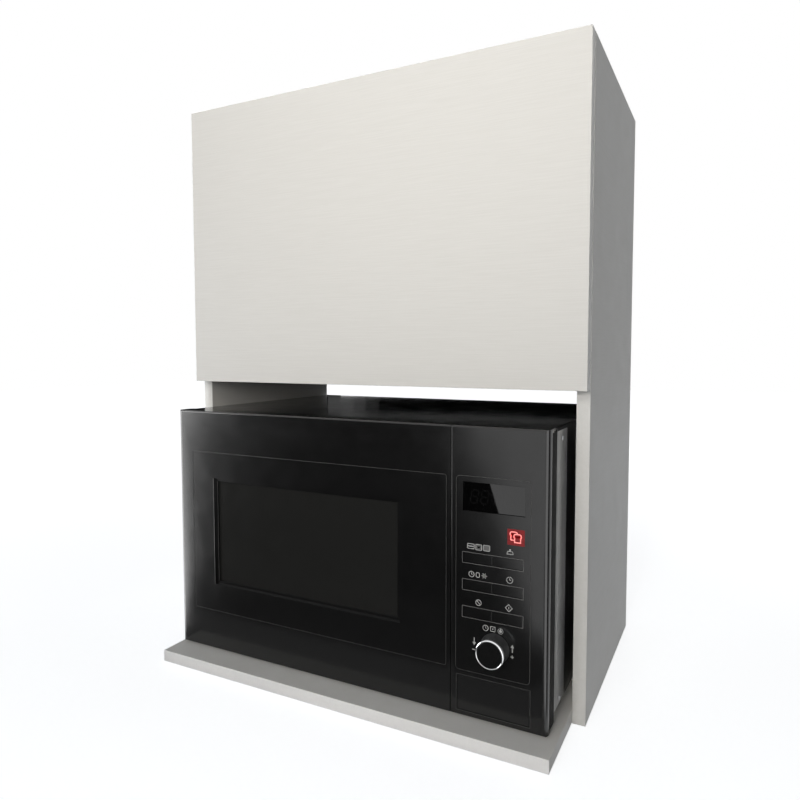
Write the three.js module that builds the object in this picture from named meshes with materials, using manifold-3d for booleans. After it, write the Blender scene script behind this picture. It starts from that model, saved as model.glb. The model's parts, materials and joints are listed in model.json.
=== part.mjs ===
// Wall cabinet for a microwave oven: an upper compartment with a lift-up flap, over an open niche
// that holds the oven. Millimetres, +X right, +Y to the wall, +Z up. The origin is on the floor
// plane, under the middle of the whole footprint.
import * as THREE from "three";
import { mergeVertices } from "three/addons/utils/BufferGeometryUtils.js";
import Module from "manifold-3d";

const wasm = await Module();
wasm.setup();

// ---- driving dimensions: cabinet ----
const cabinetWidth = 600;
const cabinetHeight = 810;
const sideDepth = 316;
const shelfReach = 106; // how far the microwave shelf runs out in front of the sides
const board = 16;
const nicheTop = 404; // underside of the upper compartment
const flapGap = 1.2; // between the flap and the carcass fronts
const flapWidth = 599;
const backThickness = 3;
const backInset = 16; // from the wall to the back panel
const grooveDepth = 6;
const fitGap = 0.3; // between pieces that touch

const halfWidth = cabinetWidth / 2;
const innerHalf = halfWidth - board;
const wallY = (sideDepth + shelfReach) / 2;
const carcassFrontY = wallY - sideDepth;
const shelfFrontY = -wallY;
const topUnderside = cabinetHeight - board;
const compartmentFloor = nicheTop + board;
const backPanelY = wallY - backInset - backThickness;

// ---- driving dimensions: flap and its fittings ----
const flapBackY = carcassFrontY - flapGap;
const flapFrontY = flapBackY - board;
const flapAxis = { y: flapFrontY + 3.2, z: cabinetHeight - 4 };
const hingeX = 190;
const cup = { z: 787.5, radius: 17.3, depth: 11.7, wall: 1.1, wing: 26, wingLow: 775, wingHigh: 791.8 };
const hingePin = { y: carcassFrontY + 2, z: 768 };
const hingeLinkLength = 33;
const hingeLinkAngle = 110; // degrees from +Y, flap closed
const liftPivot = { y: -60, z: 760 };
const liftArm = { y: 25, z: -116 }; // from the lever's pivot to its end, flap closed
const flapPivot = { y: flapAxis.y + liftArm.y, z: flapAxis.z + liftArm.z };
const leverEnd = { y: liftPivot.y + liftArm.y, z: liftPivot.z + liftArm.z };
const liftHousing = { inner: 269.7, y0: -86, y1: -10, z0: 690, z1: 786 };

// ---- driving dimensions: oven ----
const ovenLeft = -281.5;
const ovenRight = 272.5;
const ovenTop = 364;
const ovenBottom = 18; // lower edge of door and fascia
const ovenFrontY = -177;
const doorDepth = 27;
const ovenBackY = 200;
const caseFrontY = -147.9;
const caseBottom = 30.5;
const sheet = 1;
const doorBackY = ovenFrontY + doorDepth;
const doorRight = 154.2;
const fasciaLeft = 155.2;
const edgeRadius = 7;
const doorAxis = { x: ovenLeft + 9, y: doorBackY - 9 };
const frontRound = 2.5; // upper and lower front edges of door and fascia
const doorLine = { x0: -254, x1: 149, z0: 74.5, z1: 305.5, corner: 3, line: 0.6, depth: 0.5 };
const windowHole = { x0: -215, x1: 86, z0: 114, z1: 268.5 };
const windowLedge = { width: 4.5, y: ovenFrontY + 3.5 };
const pane = { y: ovenFrontY + 6, thickness: 3, seat: 1 };
const cavity = { x0: -235, x1: 115, z0: 85, z1: 305, y1: 180 };
const flangeY = -147.6;
const turntable = { x: -60, y: 16, radius: 135 };
const display = { x0: 170, x1: 245, z0: 265, z1: 299 };
const keyRows = [
  { name: "upper", z0: 203.7, z1: 215.8 },
  { name: "middle", z0: 171.4, z1: 183.7 },
  { name: "lower", z0: 138.7, z1: 151.5 },
];
const keys = { x0: 170, x1: 243 };
const panel = { x0: 161, x1: 252, z0: 73.5, z1: 306, corner: 5, line: 0.7, depth: 0.6 };
const knob = { x: 210.5, z: 108.5, radius: 17.6, height: 19.4 };
const release = { x0: 163, x1: 252, z0: 25, z1: 67.5, travel: 5 };
const fan = { x: 205, z: 215, radius: 40 };
const feet = [
  { name: "front_left", x: -225, y: -112 },
  { name: "front_right", x: 225, y: -112 },
  { name: "rear_left", x: -225, y: 160 },
  { name: "rear_right", x: 225, y: 160 },
];

// ---- shapes ----

// A closed geometry as a solid that can be joined and cut.
function solid(geometry) {
  const bare = new THREE.BufferGeometry();
  bare.setAttribute("position", geometry.getAttribute("position"));
  if (geometry.index) bare.setIndex(geometry.index);
  const merged = mergeVertices(bare, 1e-4);
  const triangles = [];
  const index = merged.index.array;
  for (let i = 0; i < index.length; i += 3) {
    const [a, b, c] = [index[i], index[i + 1], index[i + 2]];
    if (a !== b && b !== c && a !== c) triangles.push(a, b, c);
  }
  const mesh = new wasm.Mesh({
    numProp: 3,
    vertProperties: new Float32Array(merged.attributes.position.array),
    triVerts: new Uint32Array(triangles),
  });
  return new wasm.Manifold(mesh);
}

const join = (first, ...others) => others.reduce((sum, other) => sum.add(other), first);
const cut = (first, ...others) => others.reduce((rest, other) => rest.subtract(other), first);

function box(x0, x1, y0, y1, z0, z1) {
  const geometry = new THREE.BoxGeometry(x1 - x0, y1 - y0, z1 - z0);
  geometry.translate((x0 + x1) / 2, (y0 + y1) / 2, (z0 + z1) / 2);
  return solid(geometry);
}

function outline(points) {
  return new THREE.Shape(points.map(([a, b]) => new THREE.Vector2(a, b)));
}

function roundedRect(x0, x1, z0, z1, r) {
  const shape = new THREE.Shape();
  shape.absarc(x1 - r, z0 + r, r, -Math.PI / 2, 0);
  shape.absarc(x1 - r, z1 - r, r, 0, Math.PI / 2);
  shape.absarc(x0 + r, z1 - r, r, Math.PI / 2, Math.PI);
  shape.absarc(x0 + r, z0 + r, r, Math.PI, 1.5 * Math.PI);
  return shape;
}

function extrusion(shape, length, steps = 4) {
  return new THREE.ExtrudeGeometry(shape, { depth: length, bevelEnabled: false, curveSegments: steps });
}

// A shape drawn in (y, z), running along X.
function alongX(shape, x0, x1, steps) {
  const geometry = extrusion(shape, x1 - x0, steps);
  geometry.applyMatrix4(new THREE.Matrix4().set(0, 0, 1, x0, 1, 0, 0, 0, 0, 1, 0, 0, 0, 0, 0, 1));
  return solid(geometry);
}

// A shape drawn in (x, z), running along Y.
function alongY(shape, y0, y1, steps) {
  const geometry = extrusion(shape, y1 - y0, steps);
  geometry.rotateX(Math.PI / 2);
  geometry.translate(0, y1, 0);
  return solid(geometry);
}

// A shape drawn in (x, y), running along Z.
function alongZ(shape, z0, z1, steps) {
  const geometry = extrusion(shape, z1 - z0, steps);
  geometry.translate(0, 0, z0);
  return solid(geometry);
}

function rodX(y, z, radius, x0, x1, sides = 20) {
  const geometry = new THREE.CylinderGeometry(radius, radius, x1 - x0, sides);
  geometry.rotateZ(Math.PI / 2);
  geometry.translate((x0 + x1) / 2, y, z);
  return solid(geometry);
}

function rodY(x, z, radius, y0, y1, sides = 24) {
  const geometry = new THREE.CylinderGeometry(radius, radius, y1 - y0, sides);
  geometry.translate(x, (y0 + y1) / 2, z);
  return solid(geometry);
}

function rodZ(x, y, radius, z0, z1, sides = 20) {
  const geometry = new THREE.CylinderGeometry(radius, radius, z1 - z0, sides);
  geometry.rotateX(Math.PI / 2);
  geometry.translate(x, y, (z0 + z1) / 2);
  return solid(geometry);
}

// A profile of [radius, height] turned about Z.
function turnedZ(profile, x, y, sides) {
  const geometry = new THREE.LatheGeometry(profile.map(([r, h]) => new THREE.Vector2(r, h)), sides);
  geometry.rotateX(Math.PI / 2);
  geometry.translate(x, y, 0);
  return solid(geometry);
}

// A profile of [radius, y] turned about Y.
function turnedY(profile, x, z, sides) {
  const geometry = new THREE.LatheGeometry(profile.map(([r, h]) => new THREE.Vector2(r, h)), sides);
  geometry.translate(x, 0, z);
  return solid(geometry);
}

// A flat bar in the (y, z) plane with round ends about two points.
function barShape(from, to, radius) {
  const angle = Math.atan2(to.z - from.z, to.y - from.y);
  const quarter = Math.PI / 2;
  const shape = new THREE.Shape();
  shape.absarc(from.y, from.z, radius, angle + quarter, angle + 3 * quarter);
  shape.absarc(to.y, to.z, radius, angle - quarter, angle + quarter);
  return shape;
}

// The groove that frames a panel on the oven's front.
function frontGroove(p) {
  const front = ovenFrontY - 1;
  const inner = roundedRect(p.x0 + p.line, p.x1 - p.line, p.z0 + p.line, p.z1 - p.line, p.corner - p.line);
  return cut(
    alongY(roundedRect(p.x0, p.x1, p.z0, p.z1, p.corner), front, ovenFrontY + p.depth),
    alongY(inner, front - 1, ovenFrontY + p.depth + 1),
  );
}

// A block behind the oven's front, with its upper and lower front edges rounded.
function roundFront(block) {
  const shape = new THREE.Shape();
  const y = ovenFrontY + frontRound;
  shape.absarc(y, ovenTop - frontRound, frontRound, Math.PI / 2, Math.PI);
  shape.absarc(y, ovenBottom + frontRound, frontRound, Math.PI, 1.5 * Math.PI);
  shape.lineTo(caseFrontY + 1, ovenBottom);
  shape.lineTo(caseFrontY + 1, ovenTop);
  return block.intersect(alongX(shape, ovenLeft - 1, ovenRight + 1));
}

// ---- finishes ----
const finishes = {
  flapBoard: { color: 0xe2dfd8, roughness: 0.5, metalness: 0 },
  carcassBoard: { color: 0xdddbd5, roughness: 0.5, metalness: 0 },
  backBoard: { color: 0xd8d8d6, roughness: 0.6, metalness: 0 },
  zincSteel: { color: 0xa8abae, roughness: 0.35, metalness: 1 },
  greyPlastic: { color: 0x9b9da0, roughness: 0.5, metalness: 0 },
  blackSteel: { color: 0x1c1d1e, roughness: 0.35, metalness: 0.3 },
  blackPlastic: { color: 0x18191a, roughness: 0.3, metalness: 0 },
  blackGlass: { color: 0x0b0c0d, roughness: 0.08, metalness: 0 },
  enamel: { color: 0x8f9294, roughness: 0.4, metalness: 0.1 },
  clearGlass: { color: 0xcfdcd8, roughness: 0.05, metalness: 0 },
  rubber: { color: 0x202020, roughness: 0.8, metalness: 0 },
  chrome: { color: 0xe6e8ea, roughness: 0.1, metalness: 1 },
  nylon: { color: 0xd9d6cc, roughness: 0.5, metalness: 0 },
  circuitBoard: { color: 0x2f6b43, roughness: 0.5, metalness: 0 },
  coreSteel: { color: 0x5c5f62, roughness: 0.5, metalness: 0.8 },
};

const object = new THREE.Group();

function add(group, name, made, finish) {
  const mesh = made.getMesh();
  const geometry = new THREE.BufferGeometry();
  geometry.setAttribute("position", new THREE.BufferAttribute(mesh.vertProperties, 3));
  geometry.setIndex(new THREE.BufferAttribute(mesh.triVerts, 1));
  const piece = new THREE.Mesh(geometry, new THREE.MeshStandardMaterial(finishes[finish]));
  piece.name = name;
  group.add(piece);
}

// A box on the right side, or its mirror image on the left.
function sideBox(sign, x0, x1, y0, y1, z0, z1) {
  return sign > 0 ? box(x0, x1, y0, y1, z0, z1) : box(-x1, -x0, y0, y1, z0, z1);
}

function sideRodX(sign, y, z, radius, x0, x1, sides) {
  return sign > 0 ? rodX(y, z, radius, x0, x1, sides) : rodX(y, z, radius, -x1, -x0, sides);
}

function sideAlongX(sign, shape, x0, x1, steps) {
  return sign > 0 ? alongX(shape, x0, x1, steps) : alongX(shape, -x1, -x0, steps);
}

const sides = [
  { name: "left", sign: -1 },
  { name: "right", sign: 1 },
];

// ---- carcass ----
const groove = {
  y0: backPanelY - fitGap,
  y1: backPanelY + backThickness + fitGap,
  z0: compartmentFloor - grooveDepth,
  z1: topUnderside + grooveDepth,
};
const hook = { x0: 267, x1: 277, z0: 768, z1: 774, tipZ: 783, margin: 3 };

function makeSidePanel(sign) {
  const panelBoard = sideBox(sign, innerHalf, halfWidth, carcassFrontY, wallY, 0, cabinetHeight);
  const slot = sideBox(sign, innerHalf - 1, innerHalf + grooveDepth, groove.y0, groove.y1, groove.z0, groove.z1);
  return cut(panelBoard, slot);
}

function makeCrossPanel(z0, z1, grooveZ0, grooveZ1) {
  const half = innerHalf - fitGap;
  const panelBoard = box(-half, half, carcassFrontY, wallY, z0, z1);
  return cut(panelBoard, box(-halfWidth, halfWidth, groove.y0, groove.y1, grooveZ0, grooveZ1));
}

function makeBackPanel() {
  const margin = grooveDepth - fitGap * 2;
  const half = innerHalf + margin;
  const low = compartmentFloor - margin;
  const high = topUnderside + margin;
  const sheetBoard = box(-half, half, backPanelY, backPanelY + backThickness, low, high);
  const holes = sides.map(({ sign }) =>
    sideBox(
      sign,
      hook.x0 - hook.margin,
      hook.x1 + hook.margin,
      backPanelY - 1,
      wallY,
      hook.z0 - hook.margin,
      hook.tipZ + hook.margin,
    ),
  );
  return cut(sheetBoard, ...holes);
}

function makeWallHanger(sign) {
  const face = innerHalf - fitGap;
  const bodyFront = backPanelY - 34;
  const bodyBack = backPanelY - fitGap;
  const body = sideBox(sign, face - 22, face, bodyFront, bodyBack, 738, topUnderside - fitGap);
  const shank = sideBox(sign, hook.x0, hook.x1, bodyBack - 2, wallY - 3, hook.z0, hook.z1);
  const tip = sideBox(sign, hook.x0, hook.x1, wallY - 6, wallY - 3, hook.z0, hook.tipZ);
  return join(body, shank, tip);
}

function makeCarcass() {
  for (const { name, sign } of sides) {
    add(object, `side_panel_${name}`, makeSidePanel(sign), "carcassBoard");
    add(object, `wall_hanger_${name}`, makeWallHanger(sign), "zincSteel");
  }
  const topPanel = makeCrossPanel(topUnderside, cabinetHeight, topUnderside - 1, groove.z1);
  const floorPanel = makeCrossPanel(nicheTop, compartmentFloor, groove.z0, compartmentFloor + 1);
  const half = innerHalf - fitGap;
  add(object, "top_panel", topPanel, "carcassBoard");
  add(object, "compartment_floor", floorPanel, "carcassBoard");
  add(object, "microwave_shelf", box(-half, half, shelfFrontY, wallY, 0, board), "carcassBoard");
  add(object, "back_panel", makeBackPanel(), "backBoard");
}

// ---- flap with cup hinges ----
const cupSeatGap = 0.4;
const cupRimY = flapBackY;

function makeFlap() {
  const half = flapWidth / 2;
  const door = box(-half, half, flapFrontY, flapBackY, nicheTop, cabinetHeight);
  const bottom = flapBackY - cup.depth - cupSeatGap;
  const bores = sides.map(({ sign }) =>
    rodY(sign * hingeX, cup.z, cup.radius + cupSeatGap, bottom, flapBackY + 1, 32),
  );
  return cut(door, ...bores);
}

function makeHingeCup(sign) {
  const x = sign * hingeX;
  const faceY = flapBackY + fitGap;
  const wingY = faceY + 1.2;
  const pot = rodY(x, cup.z, cup.radius, flapBackY - cup.depth, wingY, 32);
  const overRim = box(x - 30, x + 30, cupRimY, wingY + 1, cup.wingHigh, cup.z + 30);
  const underRim = box(x - 30, x + 30, cupRimY, wingY + 1, cup.z - 30, cup.wingLow);
  const wings = box(x - cup.wing, x + cup.wing, faceY, wingY, cup.wingLow, cup.wingHigh);
  const hollowBottom = flapBackY - cup.depth + 0.9;
  const hollow = rodY(x, cup.z, cup.radius - cup.wall, hollowBottom, wingY + 1, 32);
  return cut(join(cut(pot, overRim, underRim), wings), hollow);
}

const knuckle = { arm: 2.6, half: 5.8, slot: 3.5, bore: 1.5, pin: 1.1, link: 3 };

function makeHingeArm(sign) {
  const x = sign * hingeX;
  const top = topUnderside - fitGap;
  const side = outline([
    [-48, top],
    [-92, top],
    [-97, 786],
    [hingePin.y - 2.3, hingePin.z + 1.2],
    [hingePin.y + 1, hingePin.z - 2.3],
    [-88, 776],
    [-79, 785],
    [-48, 787],
  ]);
  const arm = alongX(side, x - knuckle.half, x + knuckle.half);
  const plate = box(x - 16, x + 16, -86, -66, top - 3, top);
  const nose = rodX(hingePin.y, hingePin.z, knuckle.arm, x - knuckle.half, x + knuckle.half);
  const slot = box(x - knuckle.slot, x + knuckle.slot, -112, hingePin.y + 5, 760, 789);
  const bore = rodX(hingePin.y, hingePin.z, knuckle.bore, x - 8, x + 8, 12);
  return cut(join(arm, plate, nose), slot, bore);
}

function makeHingeLink(sign) {
  const x = sign * hingeX;
  const angle = THREE.MathUtils.degToRad(hingeLinkAngle);
  const end = {
    y: hingePin.y + hingeLinkLength * Math.cos(angle),
    z: hingePin.z + hingeLinkLength * Math.sin(angle),
  };
  const bar = alongX(barShape(hingePin, end, 0.9), x - knuckle.link, x + knuckle.link, 6);
  const eye = rodX(hingePin.y, hingePin.z, 2.2, x - knuckle.link, x + knuckle.link, 16);
  const foot = rodX(end.y, end.z, 1.8, x - knuckle.link, x + knuckle.link, 12);
  const pin = rodX(hingePin.y, hingePin.z, knuckle.pin, x - knuckle.half, x + knuckle.half, 12);
  return join(bar, eye, foot, pin);
}

// ---- lift mechanism: a parallelogram of carcass, lever, link and flap ----
const leverPlane = { x0: 264.6, x1: 268.6 };
const linkPlane = { x0: 260, x1: 263.6 };
const earPlane = { x0: 254.6, x1: 259 };
const pinRadius = 3;
const pinPlay = 0.35;

function makeLiftHousing(sign) {
  const h = liftHousing;
  const shell = sideAlongX(sign, roundedRect(h.y0, h.y1, h.z0, h.z1, 9), h.inner, innerHalf - fitGap);
  const stub = sideRodX(sign, liftPivot.y, liftPivot.z, 4, leverPlane.x0 - 0.6, h.inner + 1);
  return join(shell, stub);
}

function makeLiftLever(sign) {
  const bar = sideAlongX(sign, barShape(liftPivot, leverEnd, 8), leverPlane.x0, leverPlane.x1, 8);
  const pin = sideRodX(sign, leverEnd.y, leverEnd.z, pinRadius, linkPlane.x0 - 0.6, leverPlane.x0 + 1);
  const bore = sideRodX(sign, liftPivot.y, liftPivot.z, 4 + pinPlay, leverPlane.x0 - 1, leverPlane.x1 + 1);
  return cut(join(bar, pin), bore);
}

function makeLiftLink(sign) {
  const bar = sideAlongX(sign, barShape(leverEnd, flapPivot, 6.5), linkPlane.x0, linkPlane.x1, 8);
  const bores = [leverEnd, flapPivot].map((end) =>
    sideRodX(sign, end.y, end.z, pinRadius + pinPlay, linkPlane.x0 - 1, linkPlane.x1 + 1),
  );
  return cut(bar, ...bores);
}

function makeFlapBracket(sign) {
  const face = flapBackY + fitGap;
  const back = face + 2.5;
  const plate = sideBox(sign, 246, 280, face, back, flapPivot.z - 20, flapPivot.z + 20);
  const earShape = outline([
    [back - 1, flapPivot.z - 14],
    [flapPivot.y + 4, flapPivot.z - 6],
    [flapPivot.y + 6.5, flapPivot.z],
    [flapPivot.y + 4, flapPivot.z + 6],
    [back - 1, flapPivot.z + 14],
  ]);
  const ear = sideAlongX(sign, earShape, earPlane.x0, earPlane.x1);
  const pin = sideRodX(sign, flapPivot.y, flapPivot.z, pinRadius, earPlane.x1 - 1, linkPlane.x1 + 0.5);
  return join(plate, ear, pin);
}

function makeFlapFittings() {
  add(object, "flap_door", makeFlap(), "flapBoard");
  for (const { name, sign } of sides) {
    add(object, `hinge_cup_${name}`, makeHingeCup(sign), "zincSteel");
    add(object, `hinge_arm_${name}`, makeHingeArm(sign), "zincSteel");
    add(object, `hinge_link_${name}`, makeHingeLink(sign), "zincSteel");
    add(object, `lift_housing_${name}`, makeLiftHousing(sign), "greyPlastic");
    add(object, `lift_lever_${name}`, makeLiftLever(sign), "zincSteel");
    add(object, `lift_link_${name}`, makeLiftLink(sign), "zincSteel");
    add(object, `flap_bracket_${name}`, makeFlapBracket(sign), "zincSteel");
  }
}

// ---- oven body ----
const plateLeft = ovenLeft + 1.9;
const plateRight = ovenRight - 1.9;
const plateCorner = 4;
const hingePlate = { upper: 346, lower: 36, thickness: 2, pinLength: 12, notch: 1.5 };
const latch = { x0: 128, x1: 136, z0: 96, z1: 292, hooks: [102, 272], hookHeight: 8, lift: 4 };

function makeCase() {
  const left = ovenLeft + 0.5;
  const right = ovenRight - 0.5;
  const top = ovenTop - 0.5;
  const radius = 4;
  const shape = new THREE.Shape();
  shape.absarc(right - radius, top - radius, radius, 0, Math.PI / 2);
  shape.absarc(left + radius, top - radius, radius, Math.PI / 2, Math.PI);
  shape.lineTo(left, caseBottom);
  shape.lineTo(left + sheet, caseBottom);
  shape.absarc(left + radius, top - radius, radius - sheet, Math.PI, Math.PI / 2, true);
  shape.absarc(right - radius, top - radius, radius - sheet, Math.PI / 2, 0, true);
  shape.lineTo(right - sheet, caseBottom);
  shape.lineTo(right, caseBottom);
  return alongY(shape, caseFrontY, ovenBackY);
}

function makeBackPlate() {
  const y0 = ovenBackY - 1.8;
  const shape = roundedRect(plateLeft, plateRight, caseBottom + 1.4, ovenTop - 1.9, plateCorner);
  const plate = alongY(shape, y0, y0 + 1.2);
  const vents = [];
  for (let i = 0; i < 6; i++) {
    vents.push(box(fan.x - 35 + i * 13, fan.x - 30 + i * 13, y0 - 1, ovenBackY, fan.z - 30, fan.z + 30));
    vents.push(box(-190 + i * 16, -184 + i * 16, y0 - 1, ovenBackY, 300, 340));
  }
  return cut(plate, ...vents, rodY(gland.x, gland.z, gland.radius + 0.4, y0 - 1, ovenBackY, 20));
}

const gland = { x: 225, z: 70, radius: 9 };

function makeCordGland() {
  const profile = [
    [3.6, 195.5],
    [gland.radius, 195.5],
    [gland.radius, 199.7],
    [13, 199.7],
    [13, 202],
    [8, 202.6],
    [7, 209],
    [3.6, 209],
    [3.6, 195.5],
  ];
  return turnedY(profile, gland.x, gland.z, 20);
}

function makeFoot({ x, y }) {
  const low = board + fitGap;
  const high = caseBottom - fitGap;
  return turnedZ([[0, low], [12, low], [15, high], [0, high]], x, y, 20);
}

function makeCavity() {
  const backOfFlange = flangeY + 1.2;
  const flangeShape = roundedRect(plateLeft, doorRight - 1.7, caseBottom + 1.7, ovenTop - 2, plateCorner);
  const flange = alongY(flangeShape, flangeY, backOfFlange);
  const tub = box(
    cavity.x0 - sheet,
    cavity.x1 + sheet,
    flangeY,
    cavity.y1 + sheet,
    cavity.z0 - sheet,
    cavity.z1 + sheet,
  );
  const hollow = box(cavity.x0, cavity.x1, flangeY - 1, cavity.y1, cavity.z0, cavity.z1);
  const shaftHole = rodZ(turntable.x, turntable.y, 6, cavity.z0 - 3, cavity.z0 + 1);
  const wavePort = box(cavity.x1 - 1, cavity.x1 + 3, -20, 40, 235, 275);
  const hookSlots = latch.hooks.map((z) =>
    box(latch.x0 - 3, latch.x1 + 5, flangeY - 1, backOfFlange + 1, z - 4, z + 20),
  );
  const hingeSlots = [hingePlate.upper, hingePlate.lower].map((z) =>
    box(doorAxis.x - 5, doorAxis.x + 5, flangeY - 1, backOfFlange + 1, z - 1, z + 3),
  );
  return cut(join(flange, tub), hollow, shaftHole, wavePort, ...hookSlots, ...hingeSlots);
}

// A hinge plate behind the cavity's flange; its tongue carries the door's pin.
function makeDoorHinge(tongueZ, pinSide) {
  const footY = flangeY + 1.6;
  const footZ0 = pinSide < 0 ? tongueZ - 19 : tongueZ;
  const foot = box(doorAxis.x - 4, doorAxis.x + 18, footY, footY + 1.2, footZ0, footZ0 + 21);
  const tongueTop = tongueZ + hingePlate.thickness;
  const tongue = box(doorAxis.x - 4, doorAxis.x + 4, doorAxis.y, footY + 1, tongueZ, tongueTop);
  const round = rodZ(doorAxis.x, doorAxis.y, 4, tongueZ, tongueTop);
  const pinZ0 = pinSide < 0 ? tongueZ - hingePlate.pinLength : tongueTop - 1;
  const pin = rodZ(doorAxis.x, doorAxis.y, 2.5, pinZ0, pinZ0 + hingePlate.pinLength + 1, 16);
  return join(foot, tongue, round, pin);
}

function makeInterlock() {
  const x0 = latch.x1 + 7;
  const frame = box(x0, x0 + 4, flangeY + 1.6, -112, 92, 300);
  const switches = [108, 160, 262].map((z) => box(x0 + 3.5, x0 + 13, -138, -118, z, z + 18));
  const shelves = latch.hooks.map((z) => box(latch.x0 - 6, x0 + 1, -128, -114, z - 8, z - 5));
  return join(frame, ...switches, ...shelves);
}

function makeMagnetron() {
  const frame = cut(box(122, 212, -40, 45, 222, 300), box(130, 204, -50, 60, 230, 292));
  const fins = [];
  for (let i = 0; i < 6; i++) fins.push(box(129, 205, -36, 41, 237 + i * 9, 239 + i * 9));
  const core = rodZ(167, 2, 19, 229, 293, 20);
  const filter = box(145, 190, -25, 30, 299, 318);
  const duct = cut(box(116.6, 123, -24, 44, 226, 284), box(110, 122, -20, 40, 235, 275));
  return join(frame, ...fins, core, filter, duct);
}

function makeTransformer() {
  const core = box(160, 236, -20, 70, 36, 112);
  const coil = alongY(roundedRect(146, 250, 52, 96, 12), 4, 46);
  const mount = box(150, 246, -20, 70, 32.4, 36.5);
  return join(core, coil, mount);
}

function makeFanMotor() {
  const stator = box(fan.x - 27, fan.x + 27, 150, 168, fan.z - 24, fan.z + 30);
  const winding = rodY(fan.x, fan.z - 24, 14, 148, 170, 20);
  const shaft = rodY(fan.x, fan.z, 2.5, 160, 182, 12);
  const bar = box(fan.x - 52, fan.x + 52, 158, 161, fan.z - 6, fan.z + 6);
  const posts = [-52, 48].map((dx) => box(fan.x + dx, fan.x + dx + 4, 158, 197.8, fan.z - 6, fan.z + 6));
  return join(stator, winding, shaft, bar, ...posts);
}

function makeFanBlade() {
  const hub = rodY(fan.x, fan.z, 9, 172, 188, 20);
  const blades = [];
  for (let i = 0; i < 5; i++) {
    const blade = new THREE.BoxGeometry(fan.radius - 6, 1.6, 24);
    blade.translate((fan.radius + 6) / 2, 0, 0);
    blade.rotateX(THREE.MathUtils.degToRad(28));
    blade.rotateY((i * 2 * Math.PI) / 5);
    blade.translate(fan.x, 180, fan.z);
    blades.push(solid(blade));
  }
  return cut(join(hub, ...blades), rodY(fan.x, fan.z, 2.9, 171, 183, 12));
}

function makeTurntableMotor() {
  const body = rodZ(turntable.x, turntable.y, 25, 66, cavity.z0 - sheet - fitGap, 28);
  const shaft = rodZ(turntable.x, turntable.y, 3.5, 80, 90.2, 16);
  return join(body, shaft);
}

function makeTrayCoupler() {
  const hub = rodZ(turntable.x, turntable.y, 7, 86, 94.5);
  const lobes = [];
  for (let i = 0; i < 3; i++) {
    const lobe = new THREE.BoxGeometry(12, 6, 4.5);
    lobe.translate(6, 0, 0);
    lobe.rotateZ((i * 2 * Math.PI) / 3);
    lobe.translate(turntable.x, turntable.y, 92.2);
    lobes.push(solid(lobe));
  }
  return cut(join(hub, ...lobes), rodZ(turntable.x, turntable.y, 3.9, 80, 90.6, 16));
}

function makeRollerRing() {
  const ring = turnedZ([[74, 88], [80, 88], [80, 94], [74, 94], [74, 88]], turntable.x, turntable.y, 40);
  const rollers = [];
  for (let i = 0; i < 3; i++) {
    const wheel = new THREE.CylinderGeometry(6, 6, 8, 16);
    const axle = new THREE.CylinderGeometry(2, 2, 12, 10);
    for (const [shape, reach] of [[wheel, 88], [axle, 83]]) {
      shape.rotateZ(Math.PI / 2);
      shape.translate(reach, 0, 0);
      shape.rotateZ((i * 2 * Math.PI) / 3);
      shape.translate(turntable.x, turntable.y, cavity.z0 + 6.3);
      rollers.push(solid(shape));
    }
  }
  return join(ring, ...rollers);
}

function makeGlassTray() {
  const r = turntable.radius;
  const profile = [
    [0, 97.6],
    [15, 97.6],
    [15, 91.5],
    [18, 91.5],
    [18, 97.6],
    [r - 12, 97.6],
    [r - 1, 105],
    [r, 108],
    [r - 3, 108],
    [r - 14, 101.6],
    [0, 101.6],
  ];
  return turnedZ(profile, turntable.x, turntable.y, 56);
}

function makeOvenBody() {
  add(object, "oven_case", makeCase(), "blackSteel");
  add(object, "oven_back_plate", makeBackPlate(), "zincSteel");
  const base = box(plateLeft, plateRight, caseFrontY + 1, ovenBackY - 2.2, caseBottom, caseBottom + 1.2);
  add(object, "oven_base", base, "zincSteel");
  for (const foot of feet) add(object, `oven_foot_${foot.name}`, makeFoot(foot), "rubber");
  add(object, "oven_cavity", makeCavity(), "enamel");
  add(object, "door_hinge_upper", makeDoorHinge(hingePlate.upper, -1), "zincSteel");
  add(object, "door_hinge_lower", makeDoorHinge(hingePlate.lower, 1), "zincSteel");
  add(object, "interlock_frame", makeInterlock(), "nylon");
  add(object, "magnetron", makeMagnetron(), "zincSteel");
  add(object, "transformer", makeTransformer(), "coreSteel");
  add(object, "fan_motor", makeFanMotor(), "coreSteel");
  add(object, "fan_blade", makeFanBlade(), "greyPlastic");
  add(object, "turntable_motor", makeTurntableMotor(), "zincSteel");
  add(object, "tray_coupler", makeTrayCoupler(), "nylon");
  add(object, "roller_ring", makeRollerRing(), "nylon");
  add(object, "glass_tray", makeGlassTray(), "clearGlass");
  add(object, "cord_gland", makeCordGland(), "rubber");
}

// ---- oven door ----
const innerCover = { x0: -258, x1: 124, z0: 60, z1: 326, depth: 3 };
const screenSeat = { margin: 10, y: -160.4 };

// A block behind the window's outline, wider by a margin on every side.
function windowBox(margin, y0, y1) {
  const w = windowHole;
  return box(w.x0 - margin, w.x1 + margin, y0, y1, w.z0 - margin, w.z1 + margin);
}

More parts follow.
